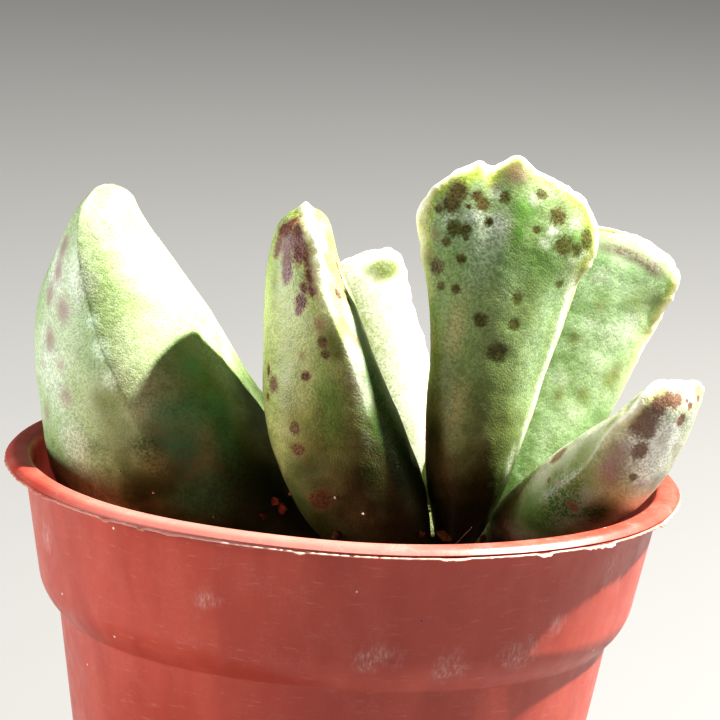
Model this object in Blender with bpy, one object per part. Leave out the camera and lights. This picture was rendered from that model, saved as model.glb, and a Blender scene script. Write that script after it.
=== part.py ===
"""A young adromischus in a small round nursery pot.

Six fat leaves stand round a short stem, which is set in potting mix.
Frame: metres, +Z up, origin at the centre of the pot's underside, +Y away from the front.
Sizes are in millimetres until a mesh is made. Heights named drop are taken down from the rim.
"""

from math import acos, atan2, cos, exp, pi, radians, sin, sqrt
from random import Random

import bmesh
import bpy
from mathutils import Vector

MM = 0.001

# Pot, a thin plastic cup with a flat rim, a neck and a step below it
RIM_RADIUS = 27.5
RIM_THICKNESS = 0.8
POT_HEIGHT = 46.0
WALL = 0.7
NECK_RADIUS = 26.0
SHOULDER_RADIUS = 24.4
SHOULDER_DROP = 9.8
STEP_RADIUS = 22.5
STEP_DROP = 12.7
FOOT_RADIUS = 17.0
POT_SEGMENTS = 64

# Base of the pot: it stands on a foot ring and a centre pad, with a drained channel between them
FLOOR = 0.9
CHANNEL_RISE = 1.2
CHANNEL_INNER = 7.5
CHANNEL_OUTER = 13.6
CHANNEL_SLOPE = 0.8
DRAIN_COUNT = 6
DRAIN_RADIUS = 1.9

# Potting mix and stem
GAP = 0.3
SOIL_DROP = 10.4
SOIL_LUMP = 0.35
SOIL_RINGS = 9
STEM_X = 7.5
STEM_Y = 0.5
STEM_RADIUS = 2.8
STEM_TOP_DROP = 3.4
ROOT_DEPTH = 12.0

# Leaves: facets round a section and from root to tip
LEAF_SIDES = 24
LEAF_RINGS = 28


def material(name, colour, roughness):
    """A plain finish for one kind of piece."""
    made = bpy.data.materials.new(name)
    made.use_nodes = True
    shader = made.node_tree.nodes["Principled BSDF"]
    shader.inputs["Base Color"].default_value = (*colour, 1.0)
    shader.inputs["Roughness"].default_value = roughness
    shader.inputs["Metallic"].default_value = 0.0
    return made


def place(name, bm, finish):
    """Turns a bmesh into one named, smooth-shaded object."""
    mesh = bpy.data.meshes.new(name)
    bm.to_mesh(mesh)
    bm.free()
    mesh.materials.append(finish)
    mesh.shade_smooth()
    mesh.set_sharp_from_angle(angle=radians(35))
    made = bpy.data.objects.new(name, mesh)
    bpy.context.scene.collection.objects.link(made)
    return made


def turned(profile, segments, centre=(0.0, 0.0)):
    """Spins a (radius, height) profile, whose ends lie on the axis, about a vertical axis."""
    bm = bmesh.new()
    line = [bm.verts.new((radius * MM, 0.0, height * MM)) for radius, height in profile]
    edges = [bm.edges.new(pair) for pair in zip(line, line[1:])]
    bmesh.ops.spin(
        bm, geom=line + edges, axis=(0, 0, 1), angle=2 * pi, steps=segments, use_merge=True
    )
    bmesh.ops.remove_doubles(bm, verts=bm.verts, dist=0.002 * MM)
    bmesh.ops.recalc_face_normals(bm, faces=bm.faces)
    bmesh.ops.translate(bm, verts=bm.verts, vec=(centre[0] * MM, centre[1] * MM, 0))
    return bm


def cut(body, cutter):
    """Takes a cutter out of a body and removes the cutter."""
    boolean = body.modifiers.new("cut", "BOOLEAN")
    boolean.operation = "DIFFERENCE"
    boolean.solver = "EXACT"
    boolean.object = cutter
    bpy.context.view_layer.update()
    evaluated = body.evaluated_get(bpy.context.evaluated_depsgraph_get())
    mesh = bpy.data.meshes.new_from_object(evaluated)
    body.modifiers.clear()
    body.data = mesh
    bpy.data.objects.remove(cutter)


def peg(radius, low, high, centre, segments=16):
    """A plain upright cylinder, for cutting a hole."""
    return turned([(0.0, low), (radius, low), (radius, high), (0.0, high)], segments, centre)


for old in list(bpy.data.objects):
    bpy.data.objects.remove(old)

plastic = material("terracotta_plastic", (0.58, 0.13, 0.09), 0.45)
mix = material("potting_mix", (0.06, 0.035, 0.02), 0.95)
bark = material("stem_bark", (0.18, 0.12, 0.06), 0.8)
green = material("leaf_green", (0.25, 0.36, 0.18), 0.6)

# Pot


def pot_profile():
    """The pot's outline from the middle of its underside, up, over the rim and down inside."""
    top = POT_HEIGHT
    shoulder_in = SHOULDER_RADIUS - WALL
    step_in = STEP_RADIUS - WALL
    foot_in = FOOT_RADIUS - WALL
    return [
        (0.0, 0.0),
        (CHANNEL_INNER, 0.0),
        (CHANNEL_INNER + CHANNEL_SLOPE, CHANNEL_RISE),
        (CHANNEL_OUTER, CHANNEL_RISE),
        (CHANNEL_OUTER + CHANNEL_SLOPE, 0.0),
        (FOOT_RADIUS - 0.5, 0.0),
        (FOOT_RADIUS, 0.5),
        (STEP_RADIUS, top - STEP_DROP),
        (STEP_RADIUS + 1.15, top - STEP_DROP + 1.1),
        (SHOULDER_RADIUS - 0.25, top - SHOULDER_DROP - 0.7),
        (SHOULDER_RADIUS, top - SHOULDER_DROP + 0.6),
        (NECK_RADIUS, top - RIM_THICKNESS - 0.3),
        (NECK_RADIUS + 0.3, top - RIM_THICKNESS),
        (RIM_RADIUS - 0.15, top - RIM_THICKNESS),
        (RIM_RADIUS, top - RIM_THICKNESS + 0.15),
        (RIM_RADIUS, top - 0.3),
        (RIM_RADIUS - 0.3, top),
        (NECK_RADIUS - 0.2, top),
        (NECK_RADIUS - WALL, top - 0.4),
        (shoulder_in, top - SHOULDER_DROP + 0.6),
        (shoulder_in - 0.3, top - SHOULDER_DROP - 0.5),
        (step_in + 0.75, top - STEP_DROP + 1.1),
        (step_in, top - STEP_DROP + 0.3),
        (foot_in, FLOOR + 0.5),
        (foot_in - 0.5, FLOOR),
        (CHANNEL_OUTER + CHANNEL_SLOPE + 0.1, FLOOR),
        (CHANNEL_OUTER, FLOOR + CHANNEL_RISE),
        (CHANNEL_INNER + CHANNEL_SLOPE, FLOOR + CHANNEL_RISE),
        (CHANNEL_INNER, FLOOR),
        (0.0, FLOOR),
    ]


pot = place("pot", turned(pot_profile(), POT_SEGMENTS), plastic)
drain_circle = (CHANNEL_INNER + CHANNEL_SLOPE + CHANNEL_OUTER) / 2
for number in range(DRAIN_COUNT):
    turn = 2 * pi * (number + 0.5) / DRAIN_COUNT
    centre = (drain_circle * cos(turn), drain_circle * sin(turn))
    cut(pot, place("drain", peg(DRAIN_RADIUS, -1.0, 2 * CHANNEL_RISE + FLOOR, centre), plastic))

# Potting mix, lumpy on top, with a plain hole for the stem


def soil_profile():
    """The mix's outline: it follows the pot's inside a gap away and is ringed on top."""
    top = POT_HEIGHT
    inset = WALL + GAP
    wall = [
        (0.0, FLOOR + CHANNEL_RISE + GAP),
        (FOOT_RADIUS - inset, FLOOR + CHANNEL_RISE + GAP),
        (STEP_RADIUS - inset, top - STEP_DROP + 0.4),
        (STEP_RADIUS - inset + 0.7, top - SHOULDER_DROP - 1.6),
        (STEP_RADIUS - inset + 1.15, top - SOIL_DROP - 0.5),
    ]
    edge = STEP_RADIUS - inset + 1.1
    rings = [(edge * (1 - i / SOIL_RINGS), top - SOIL_DROP) for i in range(SOIL_RINGS + 1)]
    return wall + rings


soil_body = turned(soil_profile(), 40)
draw = Random(7)
for vert in soil_body.verts:
    if vert.co.z > (POT_HEIGHT - SOIL_DROP - 0.1) * MM:
        vert.co.z += draw.uniform(-SOIL_LUMP, SOIL_LUMP) * MM
soil = place("soil", soil_body, mix)
hole_foot = POT_HEIGHT - SOIL_DROP - ROOT_DEPTH - GAP
hole = peg(STEM_RADIUS + GAP, hole_foot, POT_HEIGHT, (STEM_X, STEM_Y), 20)
cut(soil, place("hole", hole, mix))

# Stem, short and stout, with a tapered root below the surface
ground = POT_HEIGHT - SOIL_DROP
stem_top = POT_HEIGHT - STEM_TOP_DROP
stem_profile = [
    (0.0, ground - ROOT_DEPTH),
    (1.2, ground - ROOT_DEPTH + 0.8),
    (STEM_RADIUS - 0.3, ground - 2.0),
    (STEM_RADIUS, ground + 1.5),
    (STEM_RADIUS - 0.2, stem_top - 1.2),
    (STEM_RADIUS - 1.2, stem_top - 0.2),
    (0.0, stem_top),
]
stem = place("stem", turned(stem_profile, 20, (STEM_X, STEM_Y)), bark)

# Leaves


def between(knots, column, t):
    """A smooth curve through one column of knots, whose first column is the place, read at t."""
    places = [knot[0] for knot in knots]
    values = [knot[column] for knot in knots]
    slopes = []
    for i in range(len(knots)):
        low, high = max(i - 1, 0), min(i + 1, len(knots) - 1)
        slopes.append((values[high] - values[low]) / (places[high] - places[low]))
    t = min(max(t, places[0]), places[-1])
    i = max(n for n in range(len(knots) - 1) if places[n] <= t)
    span = places[i + 1] - places[i]
    u = (t - places[i]) / span
    return (
        (2 * u**3 - 3 * u**2 + 1) * values[i]
        + (u**3 - 2 * u**2 + u) * span * slopes[i]
        + (3 * u**2 - 2 * u**3) * values[i + 1]
        + (u**3 - u**2) * span * slopes[i + 1]
    )


def bezier(a, b, c, d, t):
    """The point and the direction of a cubic curve at t."""
    s = 1 - t
    point = a * s**3 + b * 3 * s * s * t + c * 3 * s * t * t + d * t**3
    along = (b - a) * 3 * s * s + (c - b) * 6 * s * t + (d - c) * 3 * t * t
    return point, along.normalized()


def leaf(name, midline, faces, sections, shoulder=0.9, square=2.4, slant=0.0, edge=0.72,
         crisp=0.0, scallop=0.0, waves=9.0, phase=0.0, crests=()):
    """A fat leaf: a ball drawn out along a curved midline, flattened towards its tip.

    midline holds four control points, in millimetres from the rim's centre, and faces the way
    that the inner face looks at the root and at the tip. Each section is its share of the
    length, then how far the leaf reaches to the left, to the right, inwards and outwards of the
    midline, as seen from the stem. The outline rounds off past shoulder, more squarely as square
    grows, and slant tips its end to one side. edge sharpens the margin. crisp ripples the
    margin across the blade and scallop along it, in waves to the radian from phase. crests are
    the end's points and notches: each is its place from -1 at the left margin to 1 at the
    right, its height and its spread.
    """
    points = [Vector(p) for p in midline]
    bm = bmesh.new()
    bmesh.ops.create_uvsphere(bm, u_segments=LEAF_SIDES, v_segments=LEAF_RINGS, radius=1.0)
    for vert in bm.verts:
        polar = acos(min(1.0, max(-1.0, -vert.co.z)))
        to_tip = pi - polar
        turn = atan2(vert.co.y, -vert.co.x)
        at_pole = polar < 1e-3 or to_tip < 1e-3
        side, rise = (0.0, 0.0) if at_pole else (cos(turn), sin(turn))
        t = (1 - cos(polar)) / 2
        past = max(0.0, (t - shoulder) / (1 - shoulder))
        ring = max(0.0, 1 - past**square) ** (1 / square) * sqrt(max(0.0, 1 - (1 - t) ** 24))
        point, along = bezier(*points, t)
        look = Vector(faces[0]).lerp(Vector(faces[1]), t)
        inward = (look - along * look.dot(along)).normalized()
        across = along.cross(inward)
        wide = between(sections, 2 if side > 0 else 1, t) * ring * side
        high = between(sections, 3 if rise > 0 else 4, t) * ring
        sharp = 1 + 2 * (edge - 0.5) * min(1.0, max(0.0, (t - 0.25) / 0.5))
        high *= abs(rise) ** sharp * (1 if rise > 0 else -1)
        tipward = min(1.0, max(0.0, (t - 0.5) / 0.3))
        near_edge = max(abs(side), 1 - to_tip / 0.25) ** 4
        ripple = sin(waves * to_tip * (1 if side > 0 else -1) + phase) * tipward * near_edge
        end = slant * tipward * side * ring + scallop * ripple
        for middle, height, spread in crests:
            end += tipward**3 * height * exp(-(((side * ring - middle) / spread) ** 2))
        point = point + across * wide + inward * (high + crisp * ripple) + along * end
        vert.co = (point + Vector((0, 0, POT_HEIGHT))) * MM
    return place(name, bm, green)


leaf(
    "leaf_paddle",
    midline=((8.7, -3.1, -6.7), (10.0, -5.9, 3.0), (11.2, -4.6, 15.0), (12.4, -4.0, 26.3)),
    faces=((-0.35, 1.0, 0.1), (-0.1, 1.0, 0.0)),
    sections=(
        (0.0, 1.5, 1.1, 1.3, 1.3),
        (0.08, 2.4, 1.4, 1.8, 2.0),
        (0.26, 3.8, 3.2, 2.8, 3.4),
        (0.4, 4.6, 4.0, 2.8, 3.5),
        (0.55, 5.3, 4.6, 2.6, 3.2),
        (0.66, 6.0, 5.4, 2.3, 3.0),
        (0.76, 6.5, 6.6, 2.0, 2.7),
        (0.84, 7.4, 7.4, 1.8, 2.4),
        (1.0, 7.6, 7.6, 1.5, 1.8),
    ),
    shoulder=0.82, square=2.2, slant=0.2, crisp=0.3, scallop=0.12,
    crests=((0.19, -0.6, 0.1), (-0.05, 0.8, 0.12)),
)
leaf(
    "leaf_front",
    midline=((5.9, -4.6, -7.5), (4.5, -6.5, -5.7), (-3.1, -3.0, 8.6), (-4.4, -4.4, 21.5)),
    faces=((0.67, 0.73, 0.47), (1.05, 0.17, 0.2)),
    sections=(
        (0.0, 1.7, 1.6, 1.4, 1.3),
        (0.15, 3.4, 3.0, 2.6, 3.1),
        (0.38, 4.7, 5.1, 4.3, 5.9),
        (0.6, 5.6, 5.8, 3.8, 6.3),
        (0.78, 5.5, 5.0, 3.1, 4.5),
        (0.9, 3.8, 3.9, 1.9, 3.2),
        (1.0, 2.0, 3.0, 1.1, 0.9),
    ),
    shoulder=0.94, square=2.4, crisp=0.2, crests=((0.1, 0.5, 0.25),),
)
leaf(
    "leaf_left",
    midline=((4.1, 1.3, -7.2), (-10.4, 5.0, -7.9), (-20.2, 0.4, 8.8), (-21.3, 0.6, 21.5)),
    faces=((0.57, 0.03, 1.03), (0.83, -0.37, 0.73)),
    sections=(
        (0.0, 1.6, 1.6, 1.3, 1.2),
        (0.15, 4.7, 4.7, 3.2, 2.7),
        (0.35, 8.0, 8.0, 6.2, 5.9),
        (0.5, 10.5, 10.0, 6.8, 11.2),
        (0.66, 9.1, 9.5, 6.5, 8.9),
        (0.8, 7.1, 7.6, 5.2, 6.5),
        (0.92, 5.2, 5.4, 3.1, 2.9),
        (1.0, 2.5, 3.3, 2.3, 0.6),
    ),
    shoulder=0.95, square=2.4, slant=0.3,
)
leaf(
    "leaf_back",
    midline=((6.1, 4.0, -6.2), (6.0, 7.4, -2.0), (4.4, 8.0, 8.0), (0.7, 9.0, 16.0)),
    faces=((0.1, -1.0, 0.3), (0.1, -1.0, 0.1)),
    sections=(
        (0.0, 1.5, 1.5, 1.2, 1.2),
        (0.15, 2.4, 2.2, 1.8, 2.4),
        (0.45, 3.8, 2.6, 2.6, 3.2),
        (0.74, 4.4, 2.7, 2.2, 2.6),
        (0.84, 4.4, 2.3, 1.9, 2.2),
        (0.94, 4.1, 2.8, 1.5, 1.7),
        (1.0, 3.8, 2.8, 1.2, 1.4),
    ),
    shoulder=0.94, square=3.0, slant=-0.3, crisp=0.3, scallop=0.12, phase=1.0,
)
leaf(
    "leaf_rear_right",
    midline=((10.5, 2.6, -6.2), (13.1, 5.6, -1.1), (17.7, 7.8, 10.0), (21.7, 8.7, 19.2)),
    faces=((-0.48, -1.0, 0.3), (-0.2, -1.0, 0.2)),
    sections=(
        (0.0, 1.5, 1.5, 1.2, 1.2),
        (0.15, 2.4, 2.7, 1.8, 2.4),
        (0.3, 3.4, 4.7, 2.4, 2.9),
        (0.5, 4.7, 6.0, 2.6, 3.2),
        (0.75, 5.9, 6.0, 2.2, 2.6),
        (0.9, 6.3, 6.1, 1.7, 2.0),
        (1.0, 6.1, 4.8, 1.2, 1.4),
    ),
    shoulder=0.9, square=2.05, slant=1.55, crisp=0.3, scallop=0.12, phase=2.0,
)
leaf(
    "leaf_low_right",
    midline=((11.4, 0.5, -6.9), (15.6, -3.0, -2.5), (22.4, -10.3, 2.1), (25.5, -12.1, 11.3)),
    faces=((-0.47, 0.28, 1.0), (-0.68, 0.68, 0.17)),
    sections=(
        (0.0, 1.5, 1.5, 1.2, 1.2),
        (0.15, 2.7, 2.2, 2.4, 2.2),
        (0.45, 4.4, 4.1, 3.6, 3.5),
        (0.7, 5.1, 4.5, 3.3, 3.7),
        (0.88, 4.8, 3.8, 2.0, 2.2),
        (1.0, 4.4, 3.0, 0.9, 1.6),
    ),
    shoulder=0.92, square=2.6, crisp=0.3, scallop=0.12, crests=((-0.6, 0.4, 0.2),),
)
leaf(
    "growing_tip",
    midline=((7.7, 0.6, -3.0), (7.5, 1.2, -1.6), (7.9, 1.5, 0.2), (8.3, 1.3, 2.2)),
    faces=((0.2, -1.0, 0.2), (0.1, -1.0, 0.0)),
    sections=(
        (0.0, 0.9, 0.9, 0.7, 0.7),
        (0.4, 1.4, 1.4, 0.9, 1.0),
        (0.8, 1.2, 1.2, 0.7, 0.7),
        (1.0, 0.9, 0.9, 0.5, 0.5),
    ),
    shoulder=0.85,
)
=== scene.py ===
"""How a young adromischus in a small round nursery pot looks.

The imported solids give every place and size, and this file gives the finished surfaces. It
follows the plant as it is put together: pot, potting mix, stem, leaves, and what lies about on
them. Sizes are in millimetres until a mesh is written, with heights named drop taken down from
the rim, and leaf places taken from the middle of the rim.
"""

from math import acos, atan, atan2, cos, degrees, exp, hypot, pi, radians, sin, sqrt
from random import Random

import bmesh
import bpy
from mathutils import Euler, Matrix, Quaternion, Vector
from mathutils.noise import noise


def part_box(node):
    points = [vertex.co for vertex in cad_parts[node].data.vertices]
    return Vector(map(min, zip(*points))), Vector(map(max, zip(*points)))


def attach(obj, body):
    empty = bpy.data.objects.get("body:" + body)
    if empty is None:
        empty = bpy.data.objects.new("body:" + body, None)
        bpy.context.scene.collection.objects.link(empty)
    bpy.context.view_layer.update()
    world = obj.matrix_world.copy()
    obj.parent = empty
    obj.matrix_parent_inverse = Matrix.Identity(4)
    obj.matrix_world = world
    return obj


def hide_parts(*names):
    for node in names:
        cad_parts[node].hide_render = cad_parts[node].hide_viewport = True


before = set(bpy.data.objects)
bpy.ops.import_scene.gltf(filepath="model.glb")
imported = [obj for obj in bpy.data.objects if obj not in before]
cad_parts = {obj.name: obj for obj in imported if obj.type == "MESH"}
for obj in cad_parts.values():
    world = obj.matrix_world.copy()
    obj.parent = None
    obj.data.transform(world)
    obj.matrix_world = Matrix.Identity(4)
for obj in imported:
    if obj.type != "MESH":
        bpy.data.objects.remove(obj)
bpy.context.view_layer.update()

# Pot
# A thin cup of terracotta-coloured plastic, drawn from one warm sheet over a mould. It has a
# flat rim with a line pressed round its edge, a neck, a step and a drained base.

MM = 0.001
# Points nearer to each other than MERGE become one, and a ring's points lie within NEAR of it
MERGE = 0.002
NEAR = 0.01
pot_low, pot_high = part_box("pot")
RIM_HEIGHT = pot_high.z / MM
RIM_RADIUS = pot_high.x / MM
RIM_THICKNESS = 0.8
WALL = 0.7
NECK_RADIUS = RIM_RADIUS - 1.5
SHOULDER_RADIUS = RIM_RADIUS - 3.45
SHOULDER_DROP = 11.1
STEP_RADIUS = RIM_RADIUS - 5.0
STEP_DROP = 12.7
FOOT_RADIUS = 17.0
BASE = 0.9
# A raised channel with the drain holes runs round the base, from the centre pad to the foot
CHANNEL_RISE = 1.2
CHANNEL_INNER = 7.5
CHANNEL_OUTER = 13.6
CHANNEL_SLOPE = 0.8
DRAIN_COUNT = 6
DRAIN_RADIUS = 1.9
DRILL_SIDES = 48
POT_STEPS = 288
# Rings with a smaller rounding than this need fewer steps across it
TIGHT_ROUNDING = 0.35
TERRACOTTA = (0.52, 0.088, 0.056, 1.0)
TERRACOTTA_DEEP = (0.43, 0.062, 0.040, 1.0)
TERRACOTTA_PALE = (0.70, 0.29, 0.24, 1.0)
LIME = (0.80, 0.62, 0.58, 1.0)
SPECK_WHITE = (0.85, 0.78, 0.72, 1.0)
SPECK_BLACK = (0.03, 0.015, 0.01, 1.0)
# Where the rim is palest, at its front: handling wear and a painted highlight
RUBBED_AND_HIGHLIGHT_AT = (-8.0, -26.0, RIM_HEIGHT)


def turned(profile, steps, centre=(0.0, 0.0), closed=False):
    """Spins a (radius, height) profile about an upright axis.

    The ends of an open profile lie on the axis. A closed one is joined up, and makes a ring.
    """
    bm = bmesh.new()
    line = [bm.verts.new((radius * MM, 0.0, height * MM)) for radius, height in profile]
    after = line[1:] + line[:1] if closed else line[1:]
    edges = [bm.edges.new(pair) for pair in zip(line, after)]
    bmesh.ops.spin(
        bm, geom=line + edges, axis=(0, 0, 1), angle=2 * pi, steps=steps, use_merge=True
    )
    bmesh.ops.remove_doubles(bm, verts=bm.verts, dist=MERGE * MM)
    bmesh.ops.recalc_face_normals(bm, faces=bm.faces)
    bmesh.ops.translate(bm, verts=bm.verts, vec=(centre[0] * MM, centre[1] * MM, 0))
    return bm


def round_ring(bm, radius, height, width, segments):
    """Rounds one sharp ring of a turned piece."""
    near = NEAR * MM
    ring = [
        edge
        for edge in bm.edges
        if all(abs(vert.co.z - height * MM) < near for vert in edge.verts)
        and all(abs(hypot(vert.co.x, vert.co.y) - radius * MM) < near for vert in edge.verts)
    ]
    bmesh.ops.bevel(
        bm, geom=ring, offset=width * MM, offset_type="OFFSET", affect="EDGES",
        segments=segments, profile=0.5, material=-1,
    )


def finished(name, bm, finish, crease=35):
    """Writes a bmesh into a named piece with its finish, smooth but for edges past crease."""
    mesh = bpy.data.meshes.new(name)
    bm.to_mesh(mesh)
    bm.free()
    mesh.materials.append(finish)
    mesh.shade_smooth()
    mesh.set_sharp_from_angle(angle=radians(crease))
    piece = bpy.data.objects.new(name, mesh)
    bpy.context.scene.collection.objects.link(piece)
    return piece


def feed(tree, node, inputs):
    """Sets inputs of a node. Each gets a value of its own, or follows another node's output."""
    for key, value in inputs.items():
        if isinstance(value, bpy.types.NodeSocket):
            tree.links.new(value, node.inputs[key])
        else:
            node.inputs[key].default_value = value


def add(tree, kind, inputs=None, **settings):
    """Puts one node in a tree, with its settings and its inputs."""
    made = tree.nodes.new("ShaderNode" + kind)
    for name, value in settings.items():
        setattr(made, name, value)
    feed(tree, made, inputs or {})
    return made


def fade(tree, value, start, end, low=0.0, high=1.0):
    """Goes smoothly from low to high while value goes from start to end."""
    keys = {"Value": value, "From Min": start, "From Max": end, "To Min": low, "To Max": high}
    return add(tree, "MapRange", keys, interpolation_type="SMOOTHSTEP").outputs[0]


def calc(tree, operation, first, second):
    """One step of arithmetic on two values, by the name of its operation."""
    return add(tree, "Math", {0: first, 1: second}, operation=operation).outputs[0]


def plus(tree, first, second):
    """The sum of two values."""
    return calc(tree, "ADD", first, second)


def times(tree, first, second):
    """The product of two values."""
    return calc(tree, "MULTIPLY", first, second)


def tint(tree, share, low, high):
    """The colour low where share is 0, and high where it is 1."""
    return add(tree, "Mix", {0: share, 6: low, 7: high}, data_type="RGBA").outputs[2]


def cloud(tree, place, scale, detail=3.0, roughness=0.55):
    """Soft random mottling, with scale in lumps to the millimetre."""
    keys = {"Vector": place, "Scale": scale, "Detail": detail, "Roughness": roughness}
    return add(tree, "TexNoise", keys).outputs[0]


def stretched(tree, place, scale, tilt=0.0):
    """A place scaled along each axis, then tilted about Y, to draw out a pattern on it."""
    keys = {"Vector": place, "Rotation": (0.0, tilt, 0.0), "Scale": scale}
    return add(tree, "Mapping", keys).outputs[0]


def in_millimetres(tree):
    """The place on the piece, in millimetres."""
    return stretched(tree, add(tree, "TexCoord").outputs["Object"], (1 / MM,) * 3)


def bumped(tree, height, distance, strength):
    """The direction of a surface roughened by a height, whose distance is in millimetres."""
    keys = {"Strength": strength, "Distance": distance * MM, "Height": height}
    return add(tree, "Bump", keys).outputs[0]


def empty_finish(name):
    """A new material, with its node tree and its shader."""
    made = bpy.data.materials.new(name)
    made.use_nodes = True
    return made, made.node_tree, made.node_tree.nodes["Principled BSDF"]


def effect(name, inputs, outputs):
    """A new shader node group with named sockets, and its own two end nodes."""
    made = bpy.data.node_groups.new(name, "ShaderNodeTree")
    for label, kind in inputs:
        made.interface.new_socket(label, in_out="INPUT", socket_type="NodeSocket" + kind)
    for label, kind in outputs:
        made.interface.new_socket(label, in_out="OUTPUT", socket_type="NodeSocket" + kind)
    return made, made.nodes.new("NodeGroupInput").outputs, made.nodes.new("NodeGroupOutput").inputs


def use(tree, effect_group, inputs):
    """Puts an effect in a material, with its own values, and gives its outputs."""
    return add(tree, "Group", inputs, node_tree=effect_group).outputs


def make_granules():
    """Fine rounded grains, as of skin cells or bark: their height, and a random shade each."""
    tree, given, result = effect(
        "granules",
        [("Place", "Vector"), ("Scale", "Float")],
        [("Height", "Float"), ("Shade", "Float")],
    )
    keys = {"Vector": given["Place"], "Scale": given["Scale"]}
    cells = add(tree, "TexVoronoi", {**keys, "Smoothness": 0.6}, feature="SMOOTH_F1")
    shades = add(tree, "TexVoronoi", keys, feature="F1")
    tree.links.new(fade(tree, cells.outputs["Distance"], 0.75, 0.05), result["Height"])
    apart = add(tree, "SeparateColor", {0: shades.outputs["Color"]})
    tree.links.new(apart.outputs[0], result["Shade"])
    return tree


def make_dust():
    """Pale dust and lime that settle in patches, more so on what faces up."""
    tree, given, result = effect(
        "settled dust",
        [("Place", "Vector"), ("Colour", "Color"), ("Dust", "Color"), ("Amount", "Float")],
        [("Colour", "Color"), ("Mask", "Float")],
    )
    facing = add(tree, "SeparateXYZ", {0: add(tree, "NewGeometry").outputs["Normal"]})
    upward = fade(tree, facing.outputs["Z"], -0.4, 1.0, 0.25, 1.0)
    patches = fade(tree, cloud(tree, given["Place"], 0.35, 6.0, 0.7), 0.45, 0.75)
    grain = fade(tree, cloud(tree, given["Place"], 6.0, 2.0), 0.35, 0.7)
    mask = times(tree, times(tree, patches, grain), times(tree, upward, given["Amount"]))
    tree.links.new(tint(tree, mask, given["Colour"], given["Dust"]), result["Colour"])
    tree.links.new(mask, result["Mask"])
    return tree


granules = make_granules()
settled_dust = make_dust()


def smear(tree, place, centre, reach, stretch):
    """A wiped splash of hard water: a faint patch, thin, bent and broken."""
    apart = add(tree, "VectorMath", {0: place, 1: centre}, operation="SUBTRACT").outputs[0]
    scale = (1 / (reach * stretch), 1 / reach, 1 / reach)
    apart = add(tree, "VectorMath", {0: apart, 1: scale}, operation="MULTIPLY").outputs[0]
    far = add(tree, "VectorMath", {0: apart}, operation="LENGTH").outputs["Value"]
    bent = plus(tree, far, times(tree, cloud(tree, place, 0.45), 1.8))
    return fade(tree, bent, 1.9, 1.1)


def on_wall(across, drop):
    """A place on the front of the pot's wall, by its distance across and its drop."""
    radius = NECK_RADIUS - (NECK_RADIUS - SHOULDER_RADIUS) * min(1.0, drop / SHOULDER_DROP)
    return (across, -sqrt(radius**2 - across**2), RIM_HEIGHT - drop)


# Dried splashes: the middle of each, its reach, and how much wider than high it is
SMEARS = (
    (on_wall(3.2, 9.6), 1.7, 1.7),
    (on_wall(9.4, 10.6), 2.2, 0.8),
    (on_wall(14.8, 10.0), 2.0, 1.3),
    (on_wall(17.6, 7.6), 1.5, 0.7),
    (on_wall(21.5, 4.0), 1.9, 0.6),
    (on_wall(-23.4, 5.0), 2.2, 0.5),
    (on_wall(-9.6, 6.2), 1.2, 2.2),
)


def plastic(name, body, deep, pale, wear):
    """Satin thermoformed plastic: faint flow marks, fine scratches, lime smears and specks."""
    made, tree, shader = empty_finish(name)
    place = in_millimetres(tree)
    flow = stretched(tree, place, (0.25, 0.25, 0.07))
    colour = tint(tree, fade(tree, cloud(tree, flow, 1.0, 4.0), 0.3, 0.75), deep, body)

    scratched = stretched(tree, place, (0.5, 0.5, 3.0), 0.5)
    scuffs = fade(tree, cloud(tree, scratched, 1.0, 7.0, 0.72), 0.56, 0.72, 0.0, wear)
    colour = tint(tree, scuffs, colour, pale)
    height = add(tree, "SeparateXYZ", {0: place}).outputs["Z"]
    # The rim's top is paler towards its front: partly wear, partly a painted highlight
    on_rim = fade(tree, height, RIM_HEIGHT - 0.85, RIM_HEIGHT - 0.6)
    from_rub_and_highlight = add(tree, "VectorMath", {0: place, 1: RUBBED_AND_HIGHLIGHT_AT}, operation="DISTANCE")
    rubbed_and_highlight = fade(tree, from_rub_and_highlight.outputs["Value"], 22.0, 8.0, 0.0, 0.6)
    colour = tint(tree, times(tree, on_rim, rubbed_and_highlight), colour, pale)

    dried = 0.0
    for centre, reach, stretch in SMEARS:
        dried = calc(tree, "MAXIMUM", dried, smear(tree, place, centre, reach, stretch))
    scored = cloud(tree, stretched(tree, place, (4.0, 4.0, 0.9), 0.6), 1.0, 6.0, 0.7)
    dried = times(tree, dried, fade(tree, scored, 0.42, 0.68, 0.05, 0.42))
    colour = tint(tree, dried, colour, LIME)
    spots = add(tree, "TexVoronoi", {"Vector": place, "Scale": 0.42})
    chance = add(tree, "SeparateColor", {0: spots.outputs["Color"]})
    speck = fade(tree, spots.outputs["Distance"], 0.055, 0.03)
    white = times(tree, speck, fade(tree, chance.outputs[0], 0.55, 0.6))
    black = times(tree, speck, fade(tree, chance.outputs[1], 0.86, 0.9))
    colour = tint(tree, white, colour, SPECK_WHITE)
    colour = tint(tree, black, colour, SPECK_BLACK)
    given = {"Place": place, "Colour": colour, "Dust": LIME, "Amount": 0.28}
    dust = use(tree, settled_dust, given)

    dull = calc(tree, "MAXIMUM", dried, calc(tree, "MAXIMUM", dust["Mask"], scuffs))
    sheen = fade(tree, cloud(tree, place, 0.5, 5.0), 0.3, 0.7, 0.34, 0.46)
    peel = plus(tree, cloud(tree, place, 0.9, 2.0), times(tree, cloud(tree, flow, 3.0), 0.6))
    peel = plus(tree, peel, times(tree, dull, 0.25))
    feed(tree, shader, {
        "Base Color": dust["Colour"],
        "Roughness": plus(tree, sheen, times(tree, dull, 0.35)),
        "Normal": bumped(tree, peel, 0.06, 0.35),
        "IOR": 1.49,
        "Subsurface Weight": 0.12,
        "Subsurface Radius": (1.0, 0.22, 0.12),
        "Subsurface Scale": 0.6 * MM,
    })
    return made


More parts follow.
